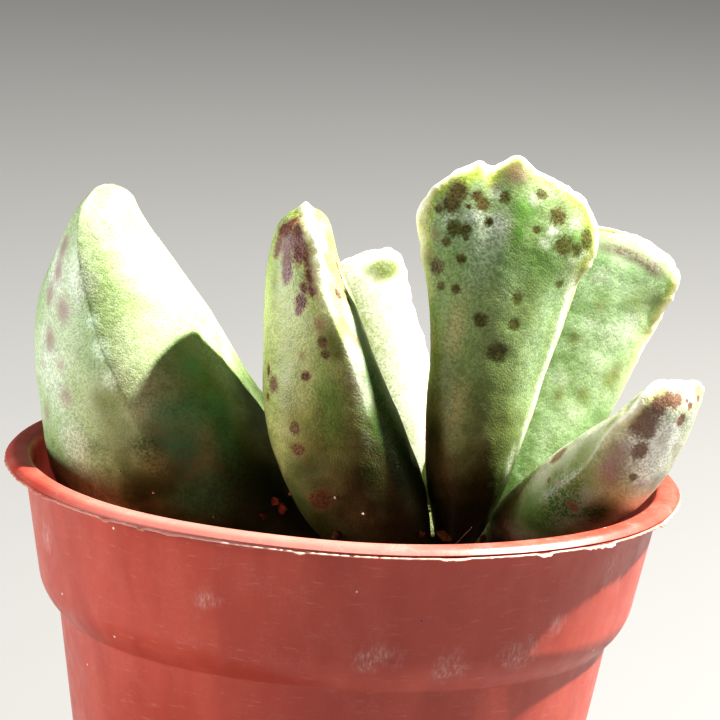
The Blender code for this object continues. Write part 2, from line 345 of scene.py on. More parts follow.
def pot_rings():
    """The pot's outline, up its outside and down its inside: radius, height and rounding."""
    top = RIM_HEIGHT
    under = top - RIM_THICKNESS
    shoulder = top - SHOULDER_DROP
    step = top - STEP_DROP
    return (
        (CHANNEL_INNER, 0.0, 0.2),
        (CHANNEL_INNER + CHANNEL_SLOPE, CHANNEL_RISE, 0.3),
        (CHANNEL_OUTER, CHANNEL_RISE, 0.3),
        (CHANNEL_OUTER + CHANNEL_SLOPE, 0.0, 0.3),
        (FOOT_RADIUS - 0.05, 0.0, 0.5),
        (STEP_RADIUS, step, 0.16),
        (SHOULDER_RADIUS, shoulder, 1.3),
        (NECK_RADIUS, under - 0.05, 0.3),
        (RIM_RADIUS - 0.2, under, 0.0),
        (RIM_RADIUS - 0.04, under + 0.1, 0.0),
        (RIM_RADIUS - 0.16, under + 0.17, 0.0),
        (RIM_RADIUS - 0.16, under + 0.23, 0.0),
        (RIM_RADIUS, under + 0.31, 0.0),
        (RIM_RADIUS - 0.42, top, 0.3),
        (NECK_RADIUS - WALL + 0.35, top, 0.3),
        (NECK_RADIUS - WALL, top - 0.7, 0.3),
        (SHOULDER_RADIUS - WALL, shoulder + 0.3, 1.0),
        (STEP_RADIUS - WALL, step + 0.3, 0.3),
        (FOOT_RADIUS - WALL - 0.3, BASE, 0.4),
        (CHANNEL_OUTER + CHANNEL_SLOPE + 0.1, BASE, 0.3),
        (CHANNEL_OUTER, BASE + CHANNEL_RISE, 0.3),
        (CHANNEL_INNER + CHANNEL_SLOPE, BASE + CHANNEL_RISE, 0.3),
        (CHANNEL_INNER, BASE, 0.2),
    )


def sway(point):
    """How far a thin drawn pot is out of true at a point: hardly at its foot, most at its rim."""
    lift = min(1.0, max(0.0, point.z / (RIM_HEIGHT * MM))) ** 3
    turn = atan2(point.y, point.x)
    out = 0.05 * sin(2 * turn + 0.6) + 0.03 * sin(5 * turn)
    up = 0.05 * sin(3 * turn + 1.0) + 0.03 * sin(7 * turn + 2.0)
    return Vector((cos(turn) * out, sin(turn) * out, up)) * lift * MM


def make_pot(finish):
    """The turned cup with its rings rounded, its drain holes cut and its rim a little uneven."""
    rings = pot_rings()
    outline = [(0.0, 0.0)] + [(radius, height) for radius, height, _ in rings] + [(0.0, BASE)]
    bm = turned(outline, POT_STEPS)
    for radius, height, width in rings:
        if width:
            round_ring(bm, radius, height, width, 3 if width < TIGHT_ROUNDING else 6)
    bmesh.ops.recalc_face_normals(bm, faces=bm.faces)
    pot = finished("pot_cup", bm, finish)
    drills = bmesh.new()
    circle = (CHANNEL_INNER + CHANNEL_SLOPE + CHANNEL_OUTER) / 2
    for number in range(DRAIN_COUNT):
        turn = 2 * pi * (number + 0.5) / DRAIN_COUNT
        at = Matrix.Translation((circle * cos(turn) * MM, circle * sin(turn) * MM, 0))
        bmesh.ops.create_cone(
            drills, cap_ends=True, segments=DRILL_SIDES, radius1=DRAIN_RADIUS * MM,
            radius2=DRAIN_RADIUS * MM, depth=4 * (BASE + CHANNEL_RISE) * MM, matrix=at,
        )
    drill = finished("drill", drills, finish)
    cut = pot.modifiers.new("drains", "BOOLEAN")
    cut.operation = "DIFFERENCE"
    cut.solver = "EXACT"
    cut.object = drill
    bpy.context.view_layer.update()
    drained = pot.evaluated_get(bpy.context.evaluated_depsgraph_get())
    mesh = bpy.data.meshes.new_from_object(drained)
    pot.modifiers.clear()
    pot.data = mesh
    bpy.data.objects.remove(drill)
    for vert in mesh.vertices:
        vert.co += sway(vert.co)
    return pot


terracotta = plastic(
    "terracotta_plastic", TERRACOTTA, TERRACOTTA_DEEP, TERRACOTTA_PALE, wear=0.35
)
pot_cup = make_pot(terracotta)
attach(pot_cup, "root")
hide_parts("pot")

# Trimmed edge of the rim
# Where the pot was punched out of its sheet, a thin pale flash of plastic is left round the
# rim's lower edge, ragged and torn here and there.

FLASH_STEPS = 1080
FLASH_THICKNESS = 0.16
FLASH_REACH = 0.13
FLASH_COLOUR = (0.80, 0.42, 0.31, 1.0)
FLASH_SHADE = (0.66, 0.22, 0.15, 1.0)
FLASH_CREASE = 60
# How far within the rim's edge the outer and the inner side of the flash lie
FLASH_INSET = 0.05
FLASH_DEPTH = 0.6
# Torn bits: the turn in degrees, how far each stands out or hangs, and its half width in degrees
TORN_BITS = (
    (-151.0, 0.20, 0.9),
    (-147.5, 0.14, 1.3),
    (-131.0, 0.20, 0.8),
    (-123.5, 0.24, 0.7),
    (-118.0, 0.12, 1.5),
    (-96.0, 0.14, 1.0),
    (-71.0, 0.12, 2.2),
    (-54.5, 0.26, 1.2),
    (-44.0, 0.20, 1.6),
    (-40.5, 0.28, 1.9),
    (-21.0, 0.16, 1.2),
    (16.0, 0.2, 1.0),
    (47.0, 0.16, 1.8),
    (83.0, 0.22, 0.9),
    (121.0, 0.18, 1.4),
    (158.0, 0.2, 1.1),
)


def turn_apart(first, second):
    """The angle between two turns, in degrees."""
    return abs((first - second + 180) % 360 - 180)


def make_flash(finish):
    """A thin ring spun round the rim's lower edge, its outer side drawn out unevenly."""
    inner = RIM_RADIUS - FLASH_DEPTH
    outer = RIM_RADIUS - FLASH_INSET
    low = RIM_HEIGHT - RIM_THICKNESS - 0.03
    high = low + FLASH_THICKNESS
    nose = (outer + 0.04, (low + high) / 2)
    section = ((inner, low), (outer, low), nose, (outer, high), (inner, high))
    bm = turned(section, FLASH_STEPS, closed=True)
    for vert in bm.verts:
        turn = degrees(atan2(vert.co.y, vert.co.x))
        outward = Vector((vert.co.x, vert.co.y, 0)).normalized()
        if hypot(vert.co.x, vert.co.y) > (inner + 0.1) * MM:
            rough = noise(Vector((outward.x * 60, outward.y * 60, 0.3)))
            rough += 0.6 * noise(Vector((outward.x * 170, outward.y * 170, 1.7)))
            out = FLASH_REACH * (0.8 + 0.8 * rough)
            droop = 0.0
            for middle, reach, width in TORN_BITS:
                apart = turn_apart(turn, middle)
                bit = exp(-((apart / width) ** 4)) * (0.8 + 0.5 * rough)
                out += 0.55 * reach * bit
                droop += reach * bit
            edge = 1.0 if vert.co.z < (low + 0.9 * FLASH_THICKNESS) * MM else 0.55
            vert.co += outward * out * edge * MM - Vector((0, 0, droop * edge * MM))
        vert.co += sway(vert.co)
    return finished("rim_flash", bm, finish, FLASH_CREASE)


flash_plastic = plastic("trimmed_edge_plastic", FLASH_COLOUR, FLASH_SHADE, LIME, wear=0.5)
rim_flash = make_flash(flash_plastic)
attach(rim_flash, "root")

# Potting mix
# Dark peat filled to below the rim, settled and lumpy, with loose crumbs, a little perlite,
# bark chips and root fibres lying on it.

GAP = 0.3
SOIL_DROP = 10.4
SOIL_EDGE = STEP_RADIUS - WALL - GAP + 1.1
SOIL_RINGS = 44
SOIL_STEPS = 160
SOIL_LUMP = 0.42
PEAT_DARK = (0.018, 0.010, 0.006, 1.0)
PEAT_BROWN = (0.075, 0.038, 0.018, 1.0)
PEAT_TAN = (0.20, 0.115, 0.055, 1.0)
PERLITE_DULL = (0.50, 0.46, 0.38, 1.0)
PERLITE = (0.72, 0.68, 0.60, 1.0)
PERLITE_BRIGHT = (0.85, 0.83, 0.78, 1.0)
CHIP_DARK = (0.06, 0.025, 0.012, 1.0)
CHIP_BROWN = (0.17, 0.065, 0.028, 1.0)
CHIP_PALE = (0.33, 0.17, 0.08, 1.0)
CRUMB_COUNT = 2600
LUMP_COUNT = CRUMB_COUNT // 12
PERLITE_COUNT = 34
CHIP_COUNT = 60
FIBRE_COUNT = 34
FIBRE_STEPS = 9
FIBRE_LIFT = 0.45
# Loose bits keep this far from the edge of the mix, and fibres, which are longer, farther
BIT_MARGIN = 0.6
FIBRE_MARGIN = 4.0
MIX_SEED = 11
# The angle in degrees past which an edge stays sharp, on the mix and on its lumps
MIX_CREASE = 60
LUMP_CREASE = 50


def earth(name, dark, brown, pale, pale_share):
    """Matt crumbly stuff: each loose bit has its own shade between dark and pale."""
    made, tree, shader = empty_finish(name)
    place = in_millimetres(tree)
    each = add(tree, "NewGeometry").outputs["Random Per Island"]
    fine = cloud(tree, place, 1.8, 8.0, 0.7)
    mixed = plus(tree, times(tree, each, 0.6), times(tree, fine, 0.5))
    colour = tint(tree, fade(tree, mixed, 0.25, 0.75), dark, brown)
    lighter = fade(tree, each, 1.0 - pale_share, 1.0 - pale_share * 0.6)
    colour = tint(tree, times(tree, lighter, fade(tree, fine, 0.35, 0.6)), colour, pale)
    cell = use(tree, granules, {"Place": place, "Scale": 2.6})
    colour = tint(tree, fade(tree, cell["Shade"], 0.86, 0.95, 0.0, 0.5), colour, pale)
    relief = plus(tree, cell["Height"], times(tree, fine, 1.5))
    feed(tree, shader, {
        "Base Color": colour,
        "Roughness": fade(tree, fine, 0.3, 0.7, 0.82, 1.0),
        "Normal": bumped(tree, relief, 0.2, 0.9),
        "Specular IOR Level": 0.25,
    })
    return made


def mix_height(x, y):
    """How far the settled mix stands above or below its mean level at a place."""
    lumps = noise(Vector((x * 0.32, y * 0.32, 3.1))) + 0.5 * noise(Vector((x * 0.9, y * 0.9, 7.7)))
    return SOIL_LUMP * lumps + 0.12 * noise(Vector((x * 2.3, y * 2.3, 1.3)))


def mix_top(x, y):
    """The height of the mix's lumpy surface at a place."""
    return RIM_HEIGHT - SOIL_DROP + mix_height(x, y)


def make_bed(finish):
    """The body of the mix: it follows the pot's inside and is lumpy on top."""
    top = RIM_HEIGHT
    inset = WALL + GAP
    wall = [
        (0.0, BASE + CHANNEL_RISE + GAP),
        (FOOT_RADIUS - inset, BASE + CHANNEL_RISE + GAP),
        (STEP_RADIUS - inset, top - STEP_DROP + 0.4),
        (STEP_RADIUS - inset + 0.7, top - SHOULDER_DROP - 0.3),
        (SOIL_EDGE, top - SOIL_DROP - 0.5),
    ]
    rings = [(SOIL_EDGE * (1 - i / SOIL_RINGS), top - SOIL_DROP) for i in range(SOIL_RINGS + 1)]
    bm = turned(wall + rings, SOIL_STEPS)
    for vert in bm.verts:
        if vert.co.z > (top - SOIL_DROP - 0.1) * MM:
            vert.co.z += mix_height(vert.co.x / MM, vert.co.y / MM) * MM
    return finished("mix_bed", bm, finish, MIX_CREASE)


def crumb_shapes(draw, count, subdivisions, ragged, flat=1.0):
    """Some irregular lumps of unit size, each a ball with its points pushed in and out."""
    shapes = []
    for number in range(count):
        bm = bmesh.new()
        bmesh.ops.create_icosphere(bm, subdivisions=subdivisions, radius=1.0)
        for vert in bm.verts:
            push = 1 + ragged * noise(vert.co * 1.3 + Vector((number * 9.1, 2.0, 5.0)))
            push += ragged * draw.uniform(-0.25, 0.25)
            vert.co = Vector((vert.co.x * push, vert.co.y * push * 0.8, vert.co.z * push * flat))
        mesh = bpy.data.meshes.new("crumb_shape")
        bm.to_mesh(mesh)
        bm.free()
        shapes.append(mesh)
    return shapes


def drop_in(bm, shape, centre, size, turn):
    """Adds one copy of a shape to a bmesh, at a place in millimetres."""
    copy = shape.copy()
    at = Matrix.Translation(Vector(centre) * MM) @ Euler(turn).to_matrix().to_4x4()
    copy.transform(at @ Matrix.Diagonal((*[side * MM for side in size], 1.0)))
    bm.from_mesh(copy)
    bpy.data.meshes.remove(copy)


def somewhere(draw, margin):
    """A random place on the mix, at least margin from its edge."""
    radius = (SOIL_EDGE - margin) * sqrt(draw.random())
    turn = draw.uniform(-pi, pi)
    return radius * cos(turn), radius * sin(turn)


def strewn(count, shapes, draw, smallest, largest, bias, lift=0.25):
    """Loose bits lying all over the mix, more small ones than large ones."""
    bm = bmesh.new()
    for _ in range(count):
        size = smallest + (largest - smallest) * draw.random() ** bias
        x, y = somewhere(draw, BIT_MARGIN)
        place = (x, y, mix_top(x, y) + lift * size)
        sides = [size * draw.uniform(0.75, 1.25) for _ in range(3)]
        shape = draw.choice(shapes)
        turn = [draw.uniform(-pi, pi) for _ in range(3)]
        drop_in(bm, shape, place, sides, turn)
    return bm


def loose_fibre(bm, start, draw, length, thickness, bend, climb=0.0):
    """One curved strand: a thin ring of four points, extruded along its way."""
    heading = draw.uniform(-pi, pi)
    ring = bmesh.ops.create_circle(bm, segments=4, radius=thickness / 2 * MM)["verts"]
    direction = Vector((cos(heading), sin(heading), climb)).normalized()
    turn = direction.to_track_quat("Z", "Y").to_matrix().to_4x4()
    bmesh.ops.transform(bm, verts=ring, matrix=Matrix.Translation(Vector(start) * MM) @ turn)
    edges = [edge for edge in bm.edges if edge.is_wire and edge.verts[0] in ring]
    for number in range(FIBRE_STEPS):
        grown = bmesh.ops.extrude_edge_only(bm, edges=edges)["geom"]
        verts = [item for item in grown if isinstance(item, bmesh.types.BMVert)]
        new_edges = [item for item in grown if isinstance(item, bmesh.types.BMEdge)]
        edges = [edge for edge in new_edges if edge.is_boundary]
        heading += bend * draw.uniform(0.2, 1.0) / FIBRE_STEPS
        step = Vector((cos(heading), sin(heading), climb + 0.12 * sin(number)))
        bmesh.ops.translate(bm, verts=verts, vec=step * length / FIBRE_STEPS * MM)


peat = earth("peat_mix", PEAT_DARK, PEAT_BROWN, PEAT_TAN, pale_share=0.10)
mix_bed = make_bed(peat)
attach(mix_bed, "root")
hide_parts("soil")

draw = Random(MIX_SEED)
small_shapes = crumb_shapes(draw, count=8, subdivisions=1, ragged=0.55)
large_shapes = crumb_shapes(draw, count=6, subdivisions=2, ragged=0.6)
crumbs = strewn(CRUMB_COUNT, small_shapes, draw, smallest=0.14, largest=0.8, bias=2.2)
lumps = strewn(LUMP_COUNT, large_shapes, draw, smallest=0.55, largest=1.25, bias=1.5, lift=0.1)
mix_crumbs = finished("mix_crumbs", crumbs, peat, crease=30)
mix_lumps = finished("mix_lumps", lumps, peat, LUMP_CREASE)
perlite = earth("perlite_grains", PERLITE_DULL, PERLITE, PERLITE_BRIGHT, pale_share=0.5)
grains = strewn(PERLITE_COUNT, large_shapes, draw, smallest=0.4, largest=1.05, bias=1.4, lift=0.45)
mix_perlite = finished("mix_perlite", grains, perlite, LUMP_CREASE)
bark_chip = earth("bark_chips", CHIP_DARK, CHIP_BROWN, CHIP_PALE, pale_share=0.25)
chip_shapes = crumb_shapes(draw, count=6, subdivisions=2, ragged=0.5, flat=0.28)
chips = strewn(CHIP_COUNT, chip_shapes, draw, smallest=0.7, largest=1.9, bias=1.3, lift=0.3)
mix_chips = finished("mix_chips", chips, bark_chip, crease=40)
fibres = bmesh.new()
for _ in range(FIBRE_COUNT):
    x, y = somewhere(draw, FIBRE_MARGIN)
    length = draw.uniform(2.0, 6.0)
    thickness = draw.uniform(0.1, 0.22)
    start = (x, y, mix_top(x, y) + FIBRE_LIFT)
    loose_fibre(fibres, start, draw, length, thickness, bend=2.5)
bmesh.ops.recalc_face_normals(fibres, faces=fibres.faces)
mix_fibres = finished("mix_fibres", fibres, bark_chip, MIX_CREASE)
for loose in (mix_crumbs, mix_lumps, mix_perlite, mix_chips, mix_fibres):
    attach(loose, "root")

# Stem
# Short and stout, with thin brown bark that cracks lengthwise. Each leaf sits on a small
# cushion, and old leaves have left round pale scars.

stem_low, stem_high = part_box("stem")
STEM_X = (stem_low.x + stem_high.x) / 2 / MM
STEM_Y = (stem_low.y + stem_high.y) / 2 / MM
STEM_RADIUS = (stem_high.x - stem_low.x) / 2 / MM
STEM_RINGS = 60
STEM_STEPS = 80
# The root starts to taper this far below the mix's top, and the stem's top is rounded
TAPER_DEPTH = 2.0
TOP_ROUNDING = 1.8
BARK = (0.20, 0.125, 0.06, 1.0)
BARK_DARK = (0.055, 0.032, 0.015, 1.0)
BARK_GREEN = (0.20, 0.24, 0.08, 1.0)
SCAR_PALE = (0.36, 0.27, 0.15, 1.0)
SCAR_RADIUS = 0.75
BARK_CREASE = 60
# Leaf cushions: the height above the middle of the rim, the turn in degrees, reach and size
CUSHIONS = (
    (-7.0, -72.0, 0.75, 1.5),
    (-7.9, -122.0, 0.75, 1.5),
    (-7.3, 167.0, 0.75, 1.5),
    (-6.4, 112.0, 0.75, 1.3),
    (-6.4, 36.0, 0.75, 1.3),
    (-7.1, -3.0, 0.75, 1.3),
)
# Scars of dropped leaves, between the cushions: height and turn as above
SCARS = ((-9.6, -40.0), (-9.4, 75.0), (-9.7, 200.0), (-4.9, -20.0), (-5.0, 150.0))


def bark(name):
    """Thin bark, cracked lengthwise, greener towards the growing tip."""
    made, tree, shader = empty_finish(name)
    place = in_millimetres(tree)
    drawn_out = stretched(tree, place, (1.6, 1.6, 0.45))
    cracks = fade(tree, cloud(tree, drawn_out, 1.4, 7.0, 0.7), 0.35, 0.62)
    colour = tint(tree, cracks, BARK_DARK, BARK)
    height = add(tree, "SeparateXYZ", {0: place}).outputs["Z"]
    young = fade(tree, height, RIM_HEIGHT - 7.5, RIM_HEIGHT - 4.0)
    colour = tint(tree, young, colour, BARK_GREEN)
    scar = add(tree, "Attribute", attribute_name="scar").outputs["Fac"]
    colour = tint(tree, scar, colour, SCAR_PALE)
    given = {"Place": place, "Colour": colour, "Dust": PEAT_TAN, "Amount": 0.5}
    cell = use(tree, granules, {"Place": drawn_out, "Scale": 3.0})
    relief = plus(tree, times(tree, cracks, 1.4), times(tree, cell["Height"], 0.5))
    feed(tree, shader, {
        "Base Color": use(tree, settled_dust, given)["Colour"],
        "Roughness": fade(tree, cracks, 0.0, 1.0, 0.92, 0.7),
        "Normal": bumped(tree, relief, 0.12, 0.8),
    })
    return made


def make_stem(finish):
    """A turned stem and root with cushions and scars raised from its bark."""
    top = stem_high.z / MM
    foot = stem_low.z / MM
    root_top = RIM_HEIGHT - SOIL_DROP - TAPER_DEPTH
    outline = [(0.0, foot)]
    for number in range(1, STEM_RINGS):
        height = foot + (top - foot) * number / STEM_RINGS
        depth = max(0.0, (root_top - height) / (root_top - foot))
        tip = max(0.0, (height - (top - TOP_ROUNDING)) / TOP_ROUNDING)
        outline.append((STEM_RADIUS * sqrt(1 - 0.9 * depth**2) * sqrt(1 - tip**2.2), height))
    outline.append((0.0, top))
    bm = turned(outline, STEM_STEPS, (STEM_X, STEM_Y))
    scar_of = bm.verts.layers.float.new("scar")
    for vert in bm.verts:
        out = Vector((vert.co.x - STEM_X * MM, vert.co.y - STEM_Y * MM, 0)) / MM
        if out.length < 0.2:
            continue
        turn = degrees(atan2(out.y, out.x))
        height = vert.co.z / MM - RIM_HEIGHT
        push = 0.18 * noise(Vector((turn * 0.05, height * 0.3, 4.4)))
        push += 0.10 * noise(Vector((turn * 0.16, height * 0.5, 9.0)))
        for level, middle, reach, size in CUSHIONS:
            apart = radians(turn_apart(turn, middle)) * STEM_RADIUS
            push += reach * exp(-((hypot(apart, height - level) / size) ** 4))
        for level, middle in SCARS:
            apart = radians(turn_apart(turn, middle)) * STEM_RADIUS
            near = hypot(apart, (height - level) * 1.5)
            push += 0.25 * exp(-(((near - SCAR_RADIUS) / 0.3) ** 2))
            vert[scar_of] = max(vert[scar_of], exp(-((near / 0.7) ** 4)))
        vert.co += out.normalized() * push * MM
    return finished("stem_bark", bm, finish, BARK_CREASE)


stem_bark = make_stem(bark("stem_bark"))
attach(stem_bark, "root")
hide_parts("stem")

# Leaves
# Fat and fleshy, each drawn out along a curved midline from its cushion on the stem. The skin
# is waxy and finely granular, with dark spots, and a pale horny margin runs round the tip.

LEAF_SIDES = 160
LEAF_RINGS = 250
BEAD_HEIGHT = 0.06
BEAD_WIDTH = 0.45
CRISPING = 0.16
# The margin's horn comes in over HORN_FADE of the length, and the root has no relief
HORN_FADE = 0.16
# A curved midline is about this many times as long as the straight line between its ends
CURVE_EXTRA = 1.1
ROOT_FADE = 0.08
LEAF_CREASE = 80
# Distances in units of a mark's or a wash's reach: no mark is near, and a wash has faded out
NO_MARK = 9.0
WASH_END = 2.2
MARK_OLIVE = (0.076, 0.078, 0.012, 1.0)
MARK_MAROON = (0.132, 0.036, 0.026, 1.0)
HALO_OLIVE = (0.125, 0.175, 0.040, 1.0)
HALO_MAROON = (0.275, 0.135, 0.080, 1.0)
HORN = (0.72, 0.70, 0.38, 1.0)
HORN_WHITE = (0.84, 0.83, 0.66, 1.0)
FRESH = (0.36, 0.44, 0.035, 1.0)
BLOOM = (0.50, 0.60, 0.38, 1.0)
GRIT = (0.50, 0.45, 0.36, 1.0)
SKIN_LAYERS = ("share", "margin", "horn", "spot", "red")
# The soft washes of colour: some the skin's own, others painted light and shade
GREEN = (0.13, 0.29, 0.045)
# Painted shade: a dark green laid in cast shadows and low on the leaves, where the pot shades them
PAINTED_SHADE = (0.022, 0.082, 0.006)
OLIVE = (0.135, 0.170, 0.028)
STRAW = (0.47, 0.43, 0.20)
BROWN = (0.25, 0.17, 0.08)
MAROON = (0.24, 0.07, 0.06)
PURPLE = (0.34, 0.22, 0.19)
PALE = (0.74, 0.80, 0.64)
WHITE = (0.86, 0.88, 0.78)
MOSS = (0.33, 0.42, 0.12)
DUSK = (0.17, 0.12, 0.09)
YOUNG = (0.36, 0.46, 0.05)
MIST = (0.44, 0.60, 0.38)
# A lighter green painted in the front leaf's cast shadow on the left leaf, for the light that
# fills it
PAINTED_SHADOW_GREEN = (0.10, 0.46, 0.20)
# Painted light along the left leaf's fold, where it turns from the sun
PAINTED_FOLD_LIGHT = (0.74, 0.95, 0.66)
# A leaf's form. Its midline is a cubic curve's four points, and faces are the ways that its
# inner side looks at the root and at the tip. A row of sections is the share of the length, the
# reach to the left and right margins, and the thickness on the inner and outer side. The end
# rounds off past the share shoulder, square is how square it is, slant how far one side of it
# stands above the other, and knob a small nub on it. Crests are bumps on the end: where across
# it, how high and how wide. edge thins the margins, crisp and scallop are their waves in and
# out and up and down, and horn_from is where their horn starts.
PLAIN_FORM = dict(
    shoulder=0.9, square=2.4, slant=0.0, edge=0.72, crisp=0.0, scallop=0.0, waves=9.0, phase=0.0,
    crests=(), horn_from=0.62, knob=0.0,
)


def between(knots, column, t):
    """A smooth curve through one column of knots, whose first column is the place, read at t."""
    places = [knot[0] for knot in knots]
    values = [knot[column] for knot in knots]
    t = min(max(t, places[0]), places[-1])
    i = max(n for n in range(len(knots) - 1) if places[n] <= t)
    slopes = []
    for at in (i, i + 1):
        low, high = max(at - 1, 0), min(at + 1, len(knots) - 1)
        slopes.append((values[high] - values[low]) / (places[high] - places[low]))
    span = places[i + 1] - places[i]
    u = (t - places[i]) / span
    return (
        (2 * u**3 - 3 * u**2 + 1) * values[i]
        + (u**3 - 2 * u**2 + u) * span * slopes[0]
        + (3 * u**2 - 2 * u**3) * values[i + 1]
        + (u**3 - u**2) * span * slopes[1]
    )


def bezier(a, b, c, d, t):
    """The point and the direction of a cubic curve at t."""
    s = 1 - t
    point = a * s**3 + b * 3 * s * s * t + c * 3 * s * t * t + d * t**3
    along = (b - a) * 3 * s * s + (c - b) * 6 * s * t + (d - c) * 3 * t * t
    return point, along.normalized()


def on_leaf(form, t, turn):
    """A point of a leaf's skin, in millimetres, with the leaf's direction there.

    t is the share of the length from root to tip. turn goes round the section: 0 at the right
    margin, a quarter at the middle of the inner face and a half at the left margin, as seen
    from the stem. The last value is how far the point lies from the nearest margin.
    """
    to_tip = acos(min(1.0, max(-1.0, 2 * t - 1)))
    at_pole = to_tip < 1e-3 or pi - to_tip < 1e-3
    side, rise = (0.0, 0.0) if at_pole else (cos(turn), sin(turn))
    past = max(0.0, (t - form["shoulder"]) / (1 - form["shoulder"]))
    square = form["square"]
    ring = max(0.0, 1 - past**square) ** (1 / square) * sqrt(max(0.0, 1 - (1 - t) ** 24))
    point, along = bezier(*[Vector(p) for p in form["midline"]], t)
    look = Vector(form["faces"][0]).lerp(Vector(form["faces"][1]), t)
    inward = (look - along * look.dot(along)).normalized()
    across = along.cross(inward)
    reach = between(form["sections"], 2 if side > 0 else 1, t)
    wide = reach * ring * side
    high = between(form["sections"], 3 if rise > 0 else 4, t) * ring
    sharp = 1 + 2 * (form["edge"] - 0.5) * min(1.0, max(0.0, (t - 0.25) / 0.5))
    high *= abs(rise) ** sharp * (1 if rise > 0 else -1)
    tipward = min(1.0, max(0.0, (t - 0.5) / 0.3))
    near_edge = max(abs(side), 1 - to_tip / 0.25) ** 4
    wave = form["waves"] * to_tip * (1 if side > 0 else -1) + form["phase"]
    ripple = sin(wave) * tipward * near_edge
    end = form["slant"] * tipward * side * ring + form["scallop"] * ripple
    end += form["knob"] * exp(-((to_tip / 0.065) ** 2))
    for middle, height, spread in form["crests"]:
        end += tipward**3 * height * exp(-(((side * ring - middle) / spread) ** 2))
    point = point + across * wide + inward * (high + form["crisp"] * ripple) + along * end
    rounded = max(0.0, 1 - (ring * abs(side)) ** square) ** (1 / square)
    end_share = form["shoulder"] + (1 - form["shoulder"]) * rounded
    length = (Vector(form["midline"][3]) - Vector(form["midline"][0])).length * CURVE_EXTRA
    from_end = hypot((end_share - t) * length, high)
    from_side = hypot(reach * ring * (1 - abs(side)), high)
    return point, along, min(from_end, from_side)


def shaded(tree, value, colour):
    """A colour made lighter or darker by a value."""
    return add(tree, "HueSaturation", {"Value": value, "Color": colour}).outputs[0]


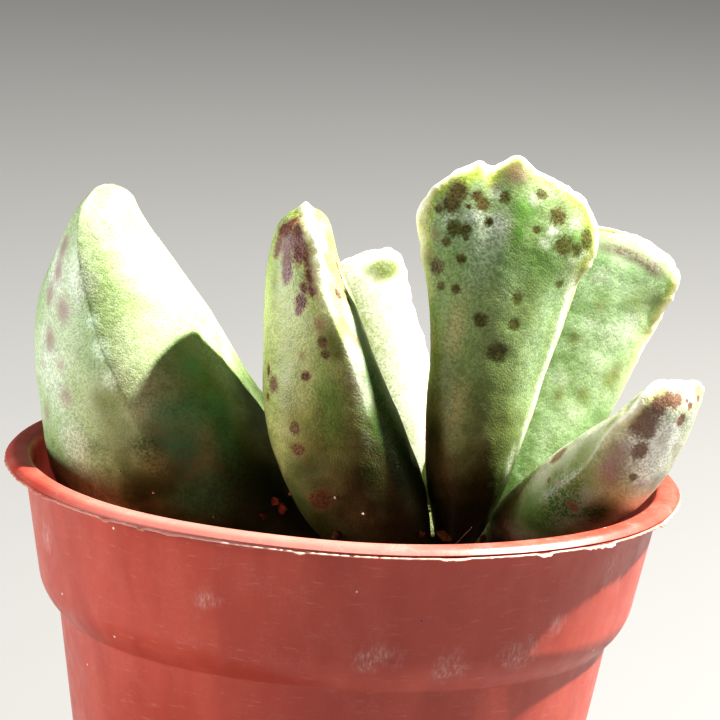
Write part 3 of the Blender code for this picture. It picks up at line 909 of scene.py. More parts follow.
def make_skin(
    name, green, pale, deep, bloom=0.6, bloom_from=0.25, fresh=0.8, glow=1.1, deep_to=0.5,
    grainy=0.6, dark=0.9, through=0.3,
):
    """Waxy leaf skin: mottled green with white bloom, dark spots and a pale horny margin.

    bloom is how thick the bloom lies, past the share of the length bloom_from. fresh is how
    strong the yellow green below the margin is, and glow how far light spreads in the flesh.
    The dark base, the root's own colour with painted shade over it, ends at the share deep_to.
    grainy is how strongly the cells stand out, dark how dark the spots' middles are, and through
    how much light goes through the flesh.
    """
    made, tree, shader = empty_finish(name)
    place = in_millimetres(tree)
    share, margin, horn, spot, red = [
        add(tree, "Attribute", attribute_name=key).outputs["Fac"] for key in SKIN_LAYERS
    ]
    wash = add(tree, "Attribute", attribute_name="wash").outputs
    broad = cloud(tree, place, 0.16)
    middle = cloud(tree, place, 0.75, 5.0, 0.6)
    fine = cloud(tree, place, 5.5, 3.0, 0.6)
    cell = use(tree, granules, {"Place": place, "Scale": 6.2})
    grain = fade(tree, cell["Shade"], 0.0, 1.0, -0.5, 0.5)
    uneven = calc(tree, "SUBTRACT", middle, 0.5)
    rough = calc(tree, "SUBTRACT", fine, 0.5)

    # Mottled flesh, darkest at the root partly by painted shade, under its bloom, yellow green by
    # the margin
    colour = tint(tree, fade(tree, broad, 0.36, 0.62), green, pale)
    colour = tint(tree, fade(tree, middle, 0.45, 0.8, 0.0, 0.35), colour, deep)
    low = plus(tree, share, times(tree, calc(tree, "SUBTRACT", broad, 0.5), 0.5))
    colour = tint(tree, fade(tree, low, deep_to, deep_to - 0.35, 0.0, 0.95), colour, deep)
    wax = fade(tree, share, bloom_from, bloom_from + 0.55, 0.0, bloom)
    wax = times(tree, wax, fade(tree, middle, 0.34, 0.66))
    wax = times(tree, wax, fade(tree, cell["Shade"], 0.1, 0.9, 0.5, 1.0))
    colour = tint(tree, wax, colour, BLOOM)
    band = plus(tree, margin, times(tree, uneven, 2.2))
    below = times(tree, fade(tree, band, 2.0, 0.6, 0.0, fresh), horn)
    colour = tint(tree, below, colour, FRESH)

    # The washes, own colour and painted light and shade, broken up by the cells; then the cells'
    # own light and dark
    broken = plus(tree, 1.0, times(tree, plus(tree, grain, uneven), 0.55))
    cover = add(tree, "Math", {0: wash["Alpha"], 1: broken}, operation="MULTIPLY", use_clamp=True)
    colour = tint(tree, cover.outputs[0], colour, wash["Color"])
    lighter = plus(tree, 1.0, times(tree, plus(tree, grain, rough), 0.34))
    colour = shaded(tree, lighter, colour)

    # Ragged spots in soft halos, and then painted shade that darkens the root
    ragged = plus(tree, spot, times(tree, rough, 0.35))
    ragged = plus(tree, ragged, times(tree, grain, 0.22))
    ragged = plus(tree, ragged, times(tree, uneven, 0.5))
    halo = tint(tree, red, HALO_OLIVE, HALO_MAROON)
    colour = tint(tree, fade(tree, ragged, 1.5, 0.85, 0.0, 0.75), colour, halo)
    stain = tint(tree, red, MARK_OLIVE, MARK_MAROON)
    stain = shaded(tree, fade(tree, cell["Shade"], 0.0, 1.0, 0.7, 1.7), stain)
    colour = tint(tree, fade(tree, ragged, 1.15, 0.6, 0.0, dark), colour, stain)
    root_shade = fade(tree, low, deep_to - 0.05, deep_to - 0.3, 1.0, 0.5)
    colour = shaded(tree, root_shade, colour)

    # The horny margin, whitest along its very edge, and a little grit
    line = plus(tree, margin, times(tree, uneven, 0.9))
    horny = times(tree, fade(tree, line, 0.95, 0.25), horn)
    white = fade(tree, plus(tree, line, rough), 0.5, 0.1)
    colour = tint(tree, horny, colour, tint(tree, white, HORN, HORN_WHITE))
    given = {"Place": place, "Colour": colour, "Dust": GRIT, "Amount": 0.10}

    waxy = fade(tree, wax, 0.0, 0.6, 0.42, 0.55)
    relief = plus(tree, cell["Height"], times(tree, fine, 0.5))
    feed(tree, shader, {
        "Base Color": use(tree, settled_dust, given)["Colour"],
        "Roughness": plus(tree, waxy, times(tree, grain, 0.12)),
        "Normal": bumped(tree, relief, 0.024, grainy),
        "Subsurface Weight": through,
        "Subsurface Radius": (0.9, 1.0, 0.08 + 0.9 * through),
        "Subsurface Scale": glow * MM,
        "Specular IOR Level": 0.4,
    })
    return made


def far_along(point, centre, way, stretch):
    """How far a point is from a centre, measured shorter along the leaf by stretch."""
    apart = point - centre
    lengthwise = apart.dot(way)
    return sqrt(max(0.0, apart.length_squared - lengthwise**2) + (lengthwise / stretch) ** 2)


def add_relief(bm, layers, lumps):
    """Raises the horny bead and crisps the margin, and lumps and sinks the skin a little."""
    bm.normal_update()
    for vert in bm.verts:
        place = vert.co / MM
        far = vert[layers["margin"]]
        uneven = 1 + 0.9 * noise(place * 0.9) + 0.5 * noise(place * 2.2)
        bead = exp(-((far / BEAD_WIDTH) ** 2)) * uneven - 0.4 * exp(-(((far - 1.3) / 0.6) ** 2))
        wrinkle = exp(-((far / 0.8) ** 2)) * (noise(place * 0.8) + 0.5 * noise(place * 1.9))
        relief = vert[layers["horn"]] * (BEAD_HEIGHT * bead + CRISPING * wrinkle)
        waves = noise(place * 0.22) + 0.45 * noise(place * 0.6)
        relief += lumps * waves + 0.02 * noise(place * 1.7)
        relief -= 0.03 * exp(-(vert[layers["spot"]] ** 2))
        vert.co += vert.normal * relief * min(1.0, vert[layers["share"]] / ROOT_FADE) * MM


def washed(point, washes):
    """The colour of the washes that lie over each other at a point, and how far they cover."""
    colour, cover = Vector((0.0, 0.0, 0.0)), 0.0
    for centre, way, reach, stretch, tone, strength in washes:
        far = far_along(point, centre, way, stretch) / reach
        if far < WASH_END:
            weight = strength * exp(-1.1 * far**2.5)
            joined = weight + cover * (1 - weight)
            colour = (Vector(tone) * weight + colour * cover * (1 - weight)) / max(joined, 1e-6)
            cover = joined
    return (*colour, cover)


def laid_on(form, rows):
    """Rows that open with a share and a turn, opened with the place and the way there instead."""
    laid = []
    for share, turn, *rest in rows:
        centre, way, _ = on_leaf(form, share, radians(turn))
        laid.append((centre, way, *rest))
    return laid


def make_leaf(
    name, finish, marks=(), washes=(), hidden=(0, 0), drawn=16, size=0.5, red=0.3, lumps=0.1,
    **given,
):
    """A leaf: a ball drawn out to the leaf's form, with its relief and what its skin shows.

    Each mark is its share of the length, its turn in degrees, its size, how much longer than
    wide it is, and its redness, from olive at 0 to maroon at 1. A wash is a soft patch, with a
    colour and a strength in place of the redness, and lies over those before it. As many marks
    as drawn says lie at random over the hidden turns.
    """
    form = {**PLAIN_FORM, **given}
    draw = Random(name)
    placed = list(marks)
    for _ in range(drawn):
        share = 1 - 0.62 * draw.random() ** 1.6
        turn = draw.uniform(*hidden)
        reach = size * (0.3 + 1.5 * draw.random() ** 2)
        placed.append((share, turn, reach, draw.uniform(1.0, 1.7), red))
    spots = laid_on(form, placed)
    patches = laid_on(form, washes)
    bm = bmesh.new()
    bmesh.ops.create_uvsphere(bm, u_segments=LEAF_SIDES, v_segments=LEAF_RINGS, radius=1.0)
    for key in SKIN_LAYERS:
        bm.verts.layers.float.new(key)
    wash_of = bm.verts.layers.float_color.new("wash")
    # A new layer makes the earlier ones stale, so they are looked up once all are there
    layers = {key: bm.verts.layers.float[key] for key in SKIN_LAYERS}
    for vert in bm.verts:
        polar = acos(min(1.0, max(-1.0, -vert.co.z)))
        share = (1 - cos(polar)) / 2
        point, _, margin = on_leaf(form, share, atan2(vert.co.y, -vert.co.x))
        nearest, redness = NO_MARK, 0.0
        for centre, way, reach, stretch, tone in spots:
            far = far_along(point, centre, way, stretch) / reach
            if far < nearest:
                nearest, redness = far, tone
        vert[layers["share"]] = share
        vert[layers["margin"]] = margin
        vert[layers["horn"]] = min(1.0, max(0.0, (share - form["horn_from"]) / HORN_FADE))
        vert[layers["spot"]] = nearest
        vert[layers["red"]] = redness
        vert[wash_of] = washed(point, patches)
        vert.co = (point + Vector((0, 0, RIM_HEIGHT))) * MM
    add_relief(bm, layers, lumps)
    return finished(name, bm, finish, LEAF_CREASE)


# The tall leaf: grey green with olive spots, thickest on the bloom below its scalloped head, with
# a painted highlight down its sunlit edge
paddle_skin = make_skin(
    "paddle_leaf_skin", green=(0.19, 0.30, 0.085, 1.0), pale=(0.27, 0.38, 0.14, 1.0),
    deep=(0.045, 0.070, 0.008, 1.0), bloom=0.35, bloom_from=0.45, fresh=0.75, grainy=0.42,
)
paddle = make_leaf(
    "paddle_leaf", paddle_skin,
    midline=((8.7, -3.1, -6.7), (10.0, -5.9, 3.0), (11.2, -4.6, 15.0), (12.4, -4.0, 26.3)),
    faces=((-0.35, 1.0, 0.1), (-0.1, 1.0, 0.0)),
    sections=(
        (0.0, 1.5, 1.1, 1.3, 1.3),
        (0.08, 2.4, 1.4, 1.8, 2.0),
        (0.26, 3.8, 3.2, 2.8, 3.4),
        (0.4, 4.6, 4.0, 2.8, 3.5),
        (0.55, 5.3, 4.6, 2.6, 3.2),
        (0.66, 6.0, 5.4, 2.3, 3.0),
        (0.76, 6.5, 6.6, 2.0, 2.7),
        (0.84, 7.4, 7.4, 1.8, 2.4),
        (1.0, 7.6, 7.6, 1.5, 1.8),
    ),
    shoulder=0.82, square=2.2, slant=0.2, crisp=0.3, scallop=0.12, horn_from=0.66,
    crests=((0.27, -0.6, 0.1), (0.01, 0.7, 0.15)),
    marks=(
        (0.92, -44, 0.74, 1.2, 0.30),
        (0.89, -44, 0.74, 1.1, 0.25),
        (0.87, -34, 0.33, 1.0, 0.20),
        (0.89, -58, 0.21, 1.0, 0.30),
        (0.92, -61, 0.47, 1.0, 0.30),
        (0.91, -67, 0.53, 1.0, 0.30),
        (0.88, -74, 0.39, 1.0, 0.10),
        (0.834, -51, 0.66, 1.0, 0.05),
        (0.836, -59, 0.51, 1.0, 0.05),
        (0.82, -60, 0.22, 1.3, 0.05),
        (0.80, -44, 0.39, 1.0, 0.15),
        (0.74, -31, 0.60, 1.2, 0.20),
        (0.77, -56, 0.39, 1.0, 0.10),
        (0.70, -33, 0.36, 1.0, 0.10),
        (0.70, -49, 0.39, 1.0, 0.10),
        (0.705, -100, 0.45, 1.1, 0.00),
        (0.75, -135, 0.36, 1.0, 0.05),
        (0.645, -72, 0.56, 1.0, 0.10),
        (0.645, -101, 0.48, 1.0, 0.05),
        (0.576, -91, 0.80, 1.0, 0.00),
        (0.905, -121, 0.72, 1.0, 0.15),
        (0.866, -105, 0.33, 1.0, 0.10),
        (0.841, -126, 0.84, 1.0, 0.00),
        (0.838, -138, 0.54, 1.0, 0.00),
        (0.864, -148, 0.57, 1.5, 0.05),
        (0.92, -81, 0.46, 1.0, 0.10),
        (0.947, -110, 0.53, 0.8, 0.10),
    ),
    washes=(
        (0.80, -112, 1.75, 1.2, GREEN, 0.45),
        (0.78, -84, 1.59, 1.0, GREEN, 0.30),
        (0.89, -95, 1.19, 1.0, GREEN, 0.85),
        (0.86, -80, 1.03, 1.2, PALE, 0.70),
        (0.88, -65, 0.64, 1.0, PALE, 0.70),
        (0.87, -117, 0.56, 1.0, PALE, 0.80),
        (0.89, -135, 0.64, 1.2, PALE, 0.35),
        (0.83, -149, 0.56, 1.0, PALE, 0.40),
        (0.93, -103, 0.56, 1.0, PALE, 0.40),
        (0.83, -93, 0.56, 2.0, GREEN, 0.95),
        (0.97, -85, 1.10, 0.9, BROWN, 0.95),
        (0.96, -69, 0.64, 1.0, BROWN, 0.50),
        (0.81, -34, 0.61, 1.0, BROWN, 0.60),
        (0.76, -22, 0.52, 1.2, BROWN, 0.60),
        (0.93, -126, 0.56, 1.0, OLIVE, 0.50),
        (0.71, -87, 0.56, 1.0, OLIVE, 0.30),
        (0.66, -57, 0.48, 1.0, OLIVE, 0.35),
        (0.51, -107, 0.48, 1.0, OLIVE, 0.40),
        (0.40, -107, 3.20, 1.2, OLIVE, 0.50),
        (0.61, -48, 0.72, 3.5, STRAW, 0.60),
        (0.45, -55, 0.88, 2.5, STRAW, 0.45),
        (0.56, -25, 0.56, 5.0, MOSS, 0.55),
        (0.85, -22, 0.40, 3.0, STRAW, 0.70),
        (0.79, -19, 0.40, 3.0, STRAW, 0.60),
        (0.68, -15, 0.28, 5.0, STRAW, 0.60),
        (0.57, -11, 0.28, 5.0, STRAW, 0.50),
        (0.94, -45, 0.48, 1.0, YOUNG, 0.60),
        (0.85, -46, 0.72, 1.0, PALE, 0.45),
        (0.86, -60, 0.71, 1.0, PALE, 0.50),
        (0.84, -75, 1.11, 1.2, PALE, 0.50),
        (0.87, -71, 0.64, 1.0, PALE, 0.60),
        (0.94, -74, 0.48, 1.0, PALE, 0.50),
        (0.84, -112, 0.56, 1.0, PALE, 0.50),
        (0.81, -140, 0.72, 1.0, PALE, 0.30),
        # The pale rows near turn -155 below paint the sun grazing the leaf's edge
        (0.75, -152, 0.72, 2.0, PALE, 0.50),
        (0.71, -155, 0.55, 3.0, PALE, 0.80),
        (0.70, -110, 1.60, 1.4, OLIVE, 0.40),
        (0.64, -156, 0.55, 4.0, PALE, 0.80),
        (0.56, -158, 0.60, 4.0, PALE, 0.80),
        (0.47, -154, 0.60, 4.0, PALE, 0.80),
        (0.39, -148, 0.55, 4.0, PALE, 0.70),
        (0.32, -135, 0.48, 3.0, PALE, 0.50),
        (0.96, -96, 1.10, 0.6, DUSK, 0.35),
        (0.96, -82, 0.90, 0.8, DUSK, 0.35),
        (0.865, -136, 0.65, 1.0, GREEN, 0.70),
        (0.84, -56, 1.70, 1.0, MIST, 0.40),
        (0.80, -72, 1.80, 1.2, MIST, 0.40),
        (0.84, -122, 1.00, 1.2, MIST, 0.30),
        (0.73, -95, 1.60, 1.3, MIST, 0.12),
        (0.84, -79, 0.71, 1.0, GREEN, 0.25),
        (0.70, -130, 1.40, 1.5, MIST, 0.40),
        (0.60, -124, 1.50, 1.5, MIST, 0.35),
        (0.50, -128, 1.30, 1.6, MIST, 0.30),
    ),
    hidden=(8, 172), drawn=20, size=0.6, red=0.15,
)

# The front leaf, seen edge-on: yellower, with maroon streaks below its blunt knob. Pale washes
# paint the sunlit strip beside its ridge, and dark ones the shadow on its right flank and its
# shaded lower part
front_skin = make_skin(
    "front_leaf_skin", green=(0.30, 0.38, 0.10, 1.0), pale=(0.42, 0.49, 0.19, 1.0),
    deep=(0.042, 0.066, 0.004, 1.0), bloom=0.3, bloom_from=0.45, fresh=0.7, deep_to=0.66,
)
front = make_leaf(
    "front_leaf", front_skin,
    midline=((5.9, -4.6, -7.5), (4.5, -6.5, -5.7), (-3.1, -3.0, 8.6), (-4.4, -4.4, 21.5)),
    faces=((0.67, 0.73, 0.47), (1.05, 0.17, 0.2)),
    sections=(
        (0.0, 1.7, 1.6, 1.4, 1.3),
        (0.15, 3.4, 3.0, 2.6, 3.1),
        (0.38, 4.7, 5.1, 4.3, 5.9),
        (0.6, 5.6, 5.8, 3.8, 6.3),
        (0.78, 5.5, 5.0, 3.1, 4.5),
        (0.9, 3.8, 3.9, 2.3, 3.3),
        (1.0, 2.5, 3.3, 1.9, 1.8),
    ),
    shoulder=0.95, square=2.4, crisp=0.2, crests=((0.1, 0.25, 0.25),), horn_from=0.76, knob=0.5,
    marks=(
        (0.994, -133, 0.34, 1.2, 1.00),
        (0.985, -117, 0.47, 1.6, 1.00),
        (0.967, -114, 0.43, 1.6, 1.00),
        (0.956, -134, 0.52, 2.0, 1.00),
        (0.957, -147, 0.45, 2.0, 1.00),
        (0.972, -112, 0.80, 1.3, 1.00),
        (0.975, -143, 0.75, 1.4, 1.00),
        (0.942, -108, 0.48, 2.6, 1.00),
        (0.950, -124, 0.56, 2.6, 1.00),
        (0.919, -127, 0.50, 2.2, 1.00),
        (0.894, -128, 0.50, 1.9, 1.00),
        (0.942, -146, 0.75, 1.6, 1.00),
        (0.922, -161, 0.60, 1.8, 0.95),
        (0.888, -160, 0.51, 1.7, 0.95),
        (0.860, -160, 0.45, 1.3, 0.90),
        (0.864, -149, 0.33, 1.4, 0.90),
        (0.839, -143, 0.51, 1.3, 0.90),
        (0.820, -139, 0.34, 1.2, 0.90),
        (0.888, 123, 0.17, 3.0, 0.95),
        (0.863, 123, 0.18, 3.0, 0.95),
        (0.840, 122, 0.22, 2.4, 0.90),
        (0.814, 129, 0.22, 2.0, 0.90),
        (0.839, 146, 0.33, 1.6, 0.70),
        (0.750, -155, 0.40, 1.2, 0.35),
        (0.725, -155, 0.36, 1.0, 0.25),
        (0.688, -136, 0.39, 1.0, 0.60),
        (0.707, -97, 0.25, 2.0, 0.70),
        (0.680, -105, 0.58, 1.2, 0.50),
        (0.657, -95, 0.19, 2.0, 0.70),
        (0.588, -120, 0.46, 1.2, 0.25),
        (0.543, -117, 0.62, 0.9, 0.30),
        (0.421, -118, 1.05, 0.8, 0.50),
    ),
    washes=(
        (0.69, -122, 1.43, 2.5, OLIVE, 0.30),
        (0.56, -121, 1.99, 1.5, OLIVE, 0.45),
        (0.63, -151, 1.03, 3.0, GREEN, 0.60),
        (0.54, -147, 1.27, 2.0, GREEN, 0.50),
        (0.84, -164, 0.48, 3.0, STRAW, 0.50),
        (0.78, -160, 0.48, 2.5, STRAW, 0.50),
        (0.72, -164, 0.59, 1.0, OLIVE, 0.80),
        (0.75, -162, 0.55, 2.0, OLIVE, 0.60),
        (0.79, -157, 0.51, 1.4, MAROON, 0.50),
        (0.73, -135, 0.36, 1.0, MAROON, 0.55),
        (0.78, 159, 0.36, 2.0, MAROON, 0.40),
        (0.73, 147, 0.60, 1.3, MAROON, 0.45),
        (0.69, 166, 0.44, 1.3, MAROON, 0.40),
        (0.62, 179, 0.64, 1.4, MAROON, 0.45),
        (0.87, -109, 0.32, 1.5, MAROON, 0.25),
        (0.83, -109, 0.32, 1.5, MAROON, 0.25),
        (0.44, -159, 0.80, 1.0, PAINTED_SHADE, 0.70),
        (0.62, 150, 2.30, 1.8, PAINTED_SHADE, 0.85),
        (0.46, 145, 2.60, 1.5, PAINTED_SHADE, 0.90),
        (0.73, 135, 1.20, 1.6, GREEN, 0.40),
        (0.50, 168, 0.72, 3.0, PAINTED_SHADE, 0.80),
        (0.40, 170, 0.80, 2.0, PAINTED_SHADE, 0.80),
        (0.47, -120, 2.20, 1.3, PAINTED_SHADE, 0.60),
        (0.45, -158, 1.60, 1.3, PAINTED_SHADE, 0.60),
        (0.88, -109, 0.50, 3.0, OLIVE, 0.35),
        (0.74, -160, 0.95, 1.4, OLIVE, 0.60),
        (0.95, 148, 0.40, 3.0, PALE, 0.80),
        (0.89, 159, 0.40, 3.0, PALE, 0.70),
        (0.85, 119, 0.44, 3.0, PALE, 0.60),
        (0.78, 140, 0.64, 2.5, PALE, 0.65),
        (0.70, 157, 0.71, 2.0, PALE, 0.60),
        (0.62, 168, 0.71, 1.8, PALE, 0.45),
        (0.73, 147, 0.50, 1.3, MAROON, 0.35),
        (1.00, 126, 0.64, 1.0, WHITE, 0.80),
        (0.43, -92, 1.28, 1.2, PAINTED_SHADE, 0.60),
        (0.65, -116, 0.80, 1.5, OLIVE, 0.35),
        (0.72, 169, 0.48, 2.5, WHITE, 0.70),
        (0.66, -179, 0.52, 2.2, PALE, 0.60),
        (0.59, -176, 0.48, 2.0, MIST, 0.50),
        (0.52, -169, 0.48, 2.0, MIST, 0.45),
    ),
    hidden=(-70, 105), drawn=15, size=0.5, red=0.8,
)

# The large leaf on the left: pale and smooth, blotched purple brown along its outer face. Its
# washes also paint the front leaf's cast shadow, shade low down and light along its fold
left_skin = make_skin(
    "left_leaf_skin", green=(0.33, 0.45, 0.18, 1.0), pale=(0.47, 0.57, 0.32, 1.0),
    deep=(0.038, 0.072, 0.005, 1.0), bloom=0.4, bloom_from=0.5, fresh=0.3, deep_to=0.64,
)
left = make_leaf(
    "left_leaf", left_skin,
    midline=((4.1, 1.3, -7.2), (-10.4, 5.0, -7.9), (-20.2, 0.4, 8.8), (-21.3, 0.6, 21.5)),
    faces=((0.57, 0.03, 1.03), (0.83, -0.37, 0.73)),
    sections=(
        (0.0, 1.6, 1.6, 1.3, 1.2),
        (0.15, 4.7, 4.7, 3.2, 2.7),
        (0.35, 8.0, 8.0, 6.2, 5.9),
        (0.5, 10.5, 10.0, 6.8, 11.2),
        (0.66, 9.1, 9.5, 6.5, 8.9),
        (0.8, 7.1, 7.6, 5.2, 6.5),
        (0.92, 5.2, 5.4, 3.1, 2.9),
        (1.0, 2.5, 3.3, 2.3, 0.6),
    ),
    shoulder=0.95, square=2.4, slant=0.3, horn_from=0.94,
    washes=(
        (0.63, 124, 2.09, 1.3, GREEN, 0.60),
        (0.54, 124, 2.09, 1.3, GREEN, 0.60),
        (0.42, 136, 2.90, 1.3, GREEN, 0.55),
        (0.29, 156, 3.24, 1.3, PAINTED_SHADE, 0.75),
        (0.42, -173, 2.90, 1.0, OLIVE, 0.40),
        (0.58, -138, 1.62, 1.2, STRAW, 0.30),
        (0.80, -171, 0.80, 2.0, GREEN, 0.20),
        (0.73, -164, 0.88, 2.0, GREEN, 0.30),
        (0.71, -176, 0.72, 1.5, GREEN, 0.40),
        (0.64, -164, 1.70, 1.5, OLIVE, 0.70),
        (0.55, -168, 2.60, 1.3, PAINTED_SHADE, 0.45),
        (0.50, 175, 2.80, 1.3, PAINTED_SHADE, 0.75),
        (0.60, -138, 1.62, 1.3, PALE, 0.40),
        (0.66, -133, 1.13, 1.3, PALE, 0.30),
        (0.98, 121, 1.13, 0.6, PURPLE, 0.45),
        (0.94, 150, 0.80, 1.2, PURPLE, 0.30),
        (0.86, -134, 1.90, 1.6, WHITE, 0.55),
        (0.86, -170, 1.20, 2.0, PALE, 0.60),
        (0.72, -128, 2.40, 1.4, PALE, 0.55),
        (0.91, -140, 0.80, 1.7, PURPLE, 0.85),
        (0.87, -138, 0.80, 1.5, PURPLE, 0.85),
        (0.83, -130, 0.80, 1.4, PURPLE, 0.80),
        (0.81, -147, 0.90, 1.4, PURPLE, 0.85),
        (0.76, -131, 0.95, 1.2, PURPLE, 0.85),
        (0.72, -139, 0.56, 1.0, PURPLE, 0.60),
        (0.72, -121, 0.49, 1.0, PURPLE, 0.50),
        (0.67, -138, 0.89, 1.0, PURPLE, 0.65),
        (0.64, -116, 0.73, 1.2, PURPLE, 0.55),
        (0.63, 124, 0.97, 1.2, PAINTED_SHADOW_GREEN, 0.40),
        (0.59, 153, 1.28, 1.2, PAINTED_SHADOW_GREEN, 0.50),
        (0.56, 140, 1.44, 1.2, PAINTED_SHADOW_GREEN, 0.55),
        (0.52, 126, 1.29, 1.3, PAINTED_SHADOW_GREEN, 0.50),
        (0.51, 159, 1.60, 1.3, PAINTED_SHADOW_GREEN, 0.60),
        (0.44, 139, 1.45, 1.3, PAINTED_SHADOW_GREEN, 0.50),
        (0.40, 176, 2.30, 1.2, PAINTED_SHADOW_GREEN, 0.80),
        (0.42, -172, 1.80, 1.2, PAINTED_SHADOW_GREEN, 0.50),
        (0.56, -176, 0.90, 1.1, PAINTED_SHADE, 0.80),
        (0.79, 180, 0.64, 1.3, PAINTED_FOLD_LIGHT, 0.70),
        (0.74, -179, 0.76, 1.3, PAINTED_FOLD_LIGHT, 0.75),
        (0.69, -177, 0.68, 1.3, PAINTED_FOLD_LIGHT, 0.75),
        (0.77, -126, 0.40, 2.0, PALE, 0.40),
    ),
    hidden=(-105, 60), drawn=24, size=0.75, red=0.65,
)

# The pale square-ended leaf behind, lit through by the sun, and white washes paint more sunlight
# on it
back_skin = make_skin(
    "back_leaf_skin", green=(0.66, 0.71, 0.44, 1.0), pale=(0.78, 0.81, 0.62, 1.0),
    deep=(0.38, 0.44, 0.18, 1.0), bloom=0.4, bloom_from=0.2, fresh=0.4, glow=3.5, deep_to=0.3,
    grainy=0.2, through=0.85,
)
back = make_leaf(
    "back_leaf", back_skin,
    midline=((6.1, 4.0, -6.2), (6.0, 7.4, -2.0), (4.4, 8.0, 8.0), (0.7, 9.0, 16.0)),
    faces=((0.15, -1.0, 0.35), (0.28, -1.0, 0.3)),
    sections=(
        (0.0, 1.5, 1.5, 1.2, 1.2),
        (0.15, 2.4, 2.2, 1.8, 2.4),
        (0.45, 3.8, 2.6, 2.1, 3.2),
        (0.74, 4.4, 2.7, 1.6, 2.6),
        (0.84, 4.4, 2.3, 1.4, 2.2),
        (0.94, 4.1, 2.8, 1.2, 1.7),
        (1.0, 3.8, 2.8, 1.0, 1.4),
    ),
    shoulder=0.94, square=3.0, slant=-0.3, crisp=0.3, scallop=0.12, phase=1.0, horn_from=0.5,
    washes=(
        (0.93, 115, 0.82, 1.0, WHITE, 0.60),
        (0.87, 118, 2.40, 1.3, WHITE, 0.95),
        (0.72, 120, 2.60, 1.5, WHITE, 0.95),
        (0.75, 76, 1.15, 2.0, WHITE, 0.50),
        (0.56, 105, 2.20, 1.5, WHITE, 0.90),
        (0.94, 70, 1.35, 0.7, MOSS, 0.70),
        (0.94, 68, 1.15, 0.8, OLIVE, 0.95),
        (0.94, 74, 0.95, 0.8, OLIVE, 0.90),
        (0.95, 97, 0.80, 0.7, OLIVE, 0.60),
        (0.945, 76, 1.00, 0.6, OLIVE, 0.80),
        (0.92, 93, 0.49, 1.0, BROWN, 0.40),
        (0.93, 116, 0.49, 1.0, BROWN, 0.30),
        (0.82, 85, 0.41, 1.0, OLIVE, 0.35),
    ),
    hidden=(-172, -8), drawn=11, size=0.45, red=0.2,
)

# The broad pale leaf behind on the right, with faint brown patches and a purple brown edge
rear_skin = make_skin(
    "rear_leaf_skin", green=(0.40, 0.62, 0.28, 1.0), pale=(0.60, 0.78, 0.48, 1.0),
    deep=(0.36, 0.55, 0.24, 1.0), bloom=0.3, bloom_from=0.3, fresh=0.3, glow=2.5, deep_to=0.3,
    grainy=0.3,
)
rear = make_leaf(
    "rear_leaf", rear_skin,
    midline=((10.5, 2.6, -6.2), (13.1, 5.6, -1.1), (17.7, 7.8, 10.0), (21.7, 8.7, 19.2)),
    faces=((-0.48, -1.0, 0.3), (-0.2, -1.0, 0.2)),
    sections=(
        (0.0, 1.5, 1.5, 1.2, 1.2),
        (0.15, 2.4, 2.7, 1.8, 2.4),
        (0.3, 3.4, 4.7, 2.4, 2.9),
        (0.5, 4.7, 6.0, 2.6, 3.2),
        (0.75, 5.9, 6.0, 2.2, 2.6),
        (0.9, 6.3, 6.1, 1.7, 2.0),
        (1.0, 6.1, 4.8, 1.2, 1.4),
    ),
    shoulder=0.9, square=2.05, slant=1.55, crisp=0.3, scallop=0.12, phase=2.0, horn_from=0.6,
    washes=(
        (0.90, 59, 1.15, 1.0, GREEN, 0.30),
        (0.81, 56, 0.74, 1.0, GREEN, 0.50),
        (0.53, 19, 1.15, 1.0, GREEN, 0.50),
        (0.73, 54, 1.15, 1.0, PALE, 0.60),
        (0.87, 86, 0.82, 1.0, PALE, 0.60),
        (0.77, 44, 0.82, 1.2, PALE, 0.70),
        (0.74, 75, 0.74, 1.0, PALE, 0.60),
        (0.66, 56, 0.74, 1.2, PALE, 0.35),
        (0.58, 76, 0.66, 1.0, PALE, 0.80),
        (0.51, 53, 0.74, 1.0, PALE, 0.40),
        (0.41, 60, 0.82, 1.5, PALE, 0.40),
        (0.80, 75, 0.99, 1.2, MOSS, 0.30),
        (0.83, 48, 0.99, 1.2, MOSS, 0.60),
        (0.69, 81, 0.66, 1.0, STRAW, 0.40),
        (0.63, 34, 0.82, 1.6, MOSS, 0.80),
        (0.56, 50, 0.74, 1.2, MOSS, 0.60),
        (0.54, 70, 0.74, 1.0, MOSS, 0.60),
        (0.95, 98, 0.90, 0.7, DUSK, 0.60),
        (0.95, 88, 0.90, 0.7, DUSK, 0.65),
        (0.95, 79, 0.90, 0.7, DUSK, 0.65),
        (0.945, 70, 0.90, 0.7, DUSK, 0.65),
        (0.94, 61, 0.90, 0.7, DUSK, 0.75),
        (0.93, 52, 0.90, 0.8, DUSK, 0.80),
        (0.92, 43, 0.90, 0.9, DUSK, 0.65),
        (0.84, 30, 0.74, 1.0, OLIVE, 0.45),
        (0.79, 76, 0.60, 1.0, BROWN, 0.25),
        (0.69, 81, 0.40, 1.0, BROWN, 0.30),
        (0.65, 32, 0.50, 2.0, BROWN, 0.35),
        (0.57, 55, 0.40, 1.0, BROWN, 0.35),
        (0.54, 70, 0.35, 1.0, MAROON, 0.35),
    ),
    hidden=(-172, -8), drawn=17, size=0.5, red=0.5,
)

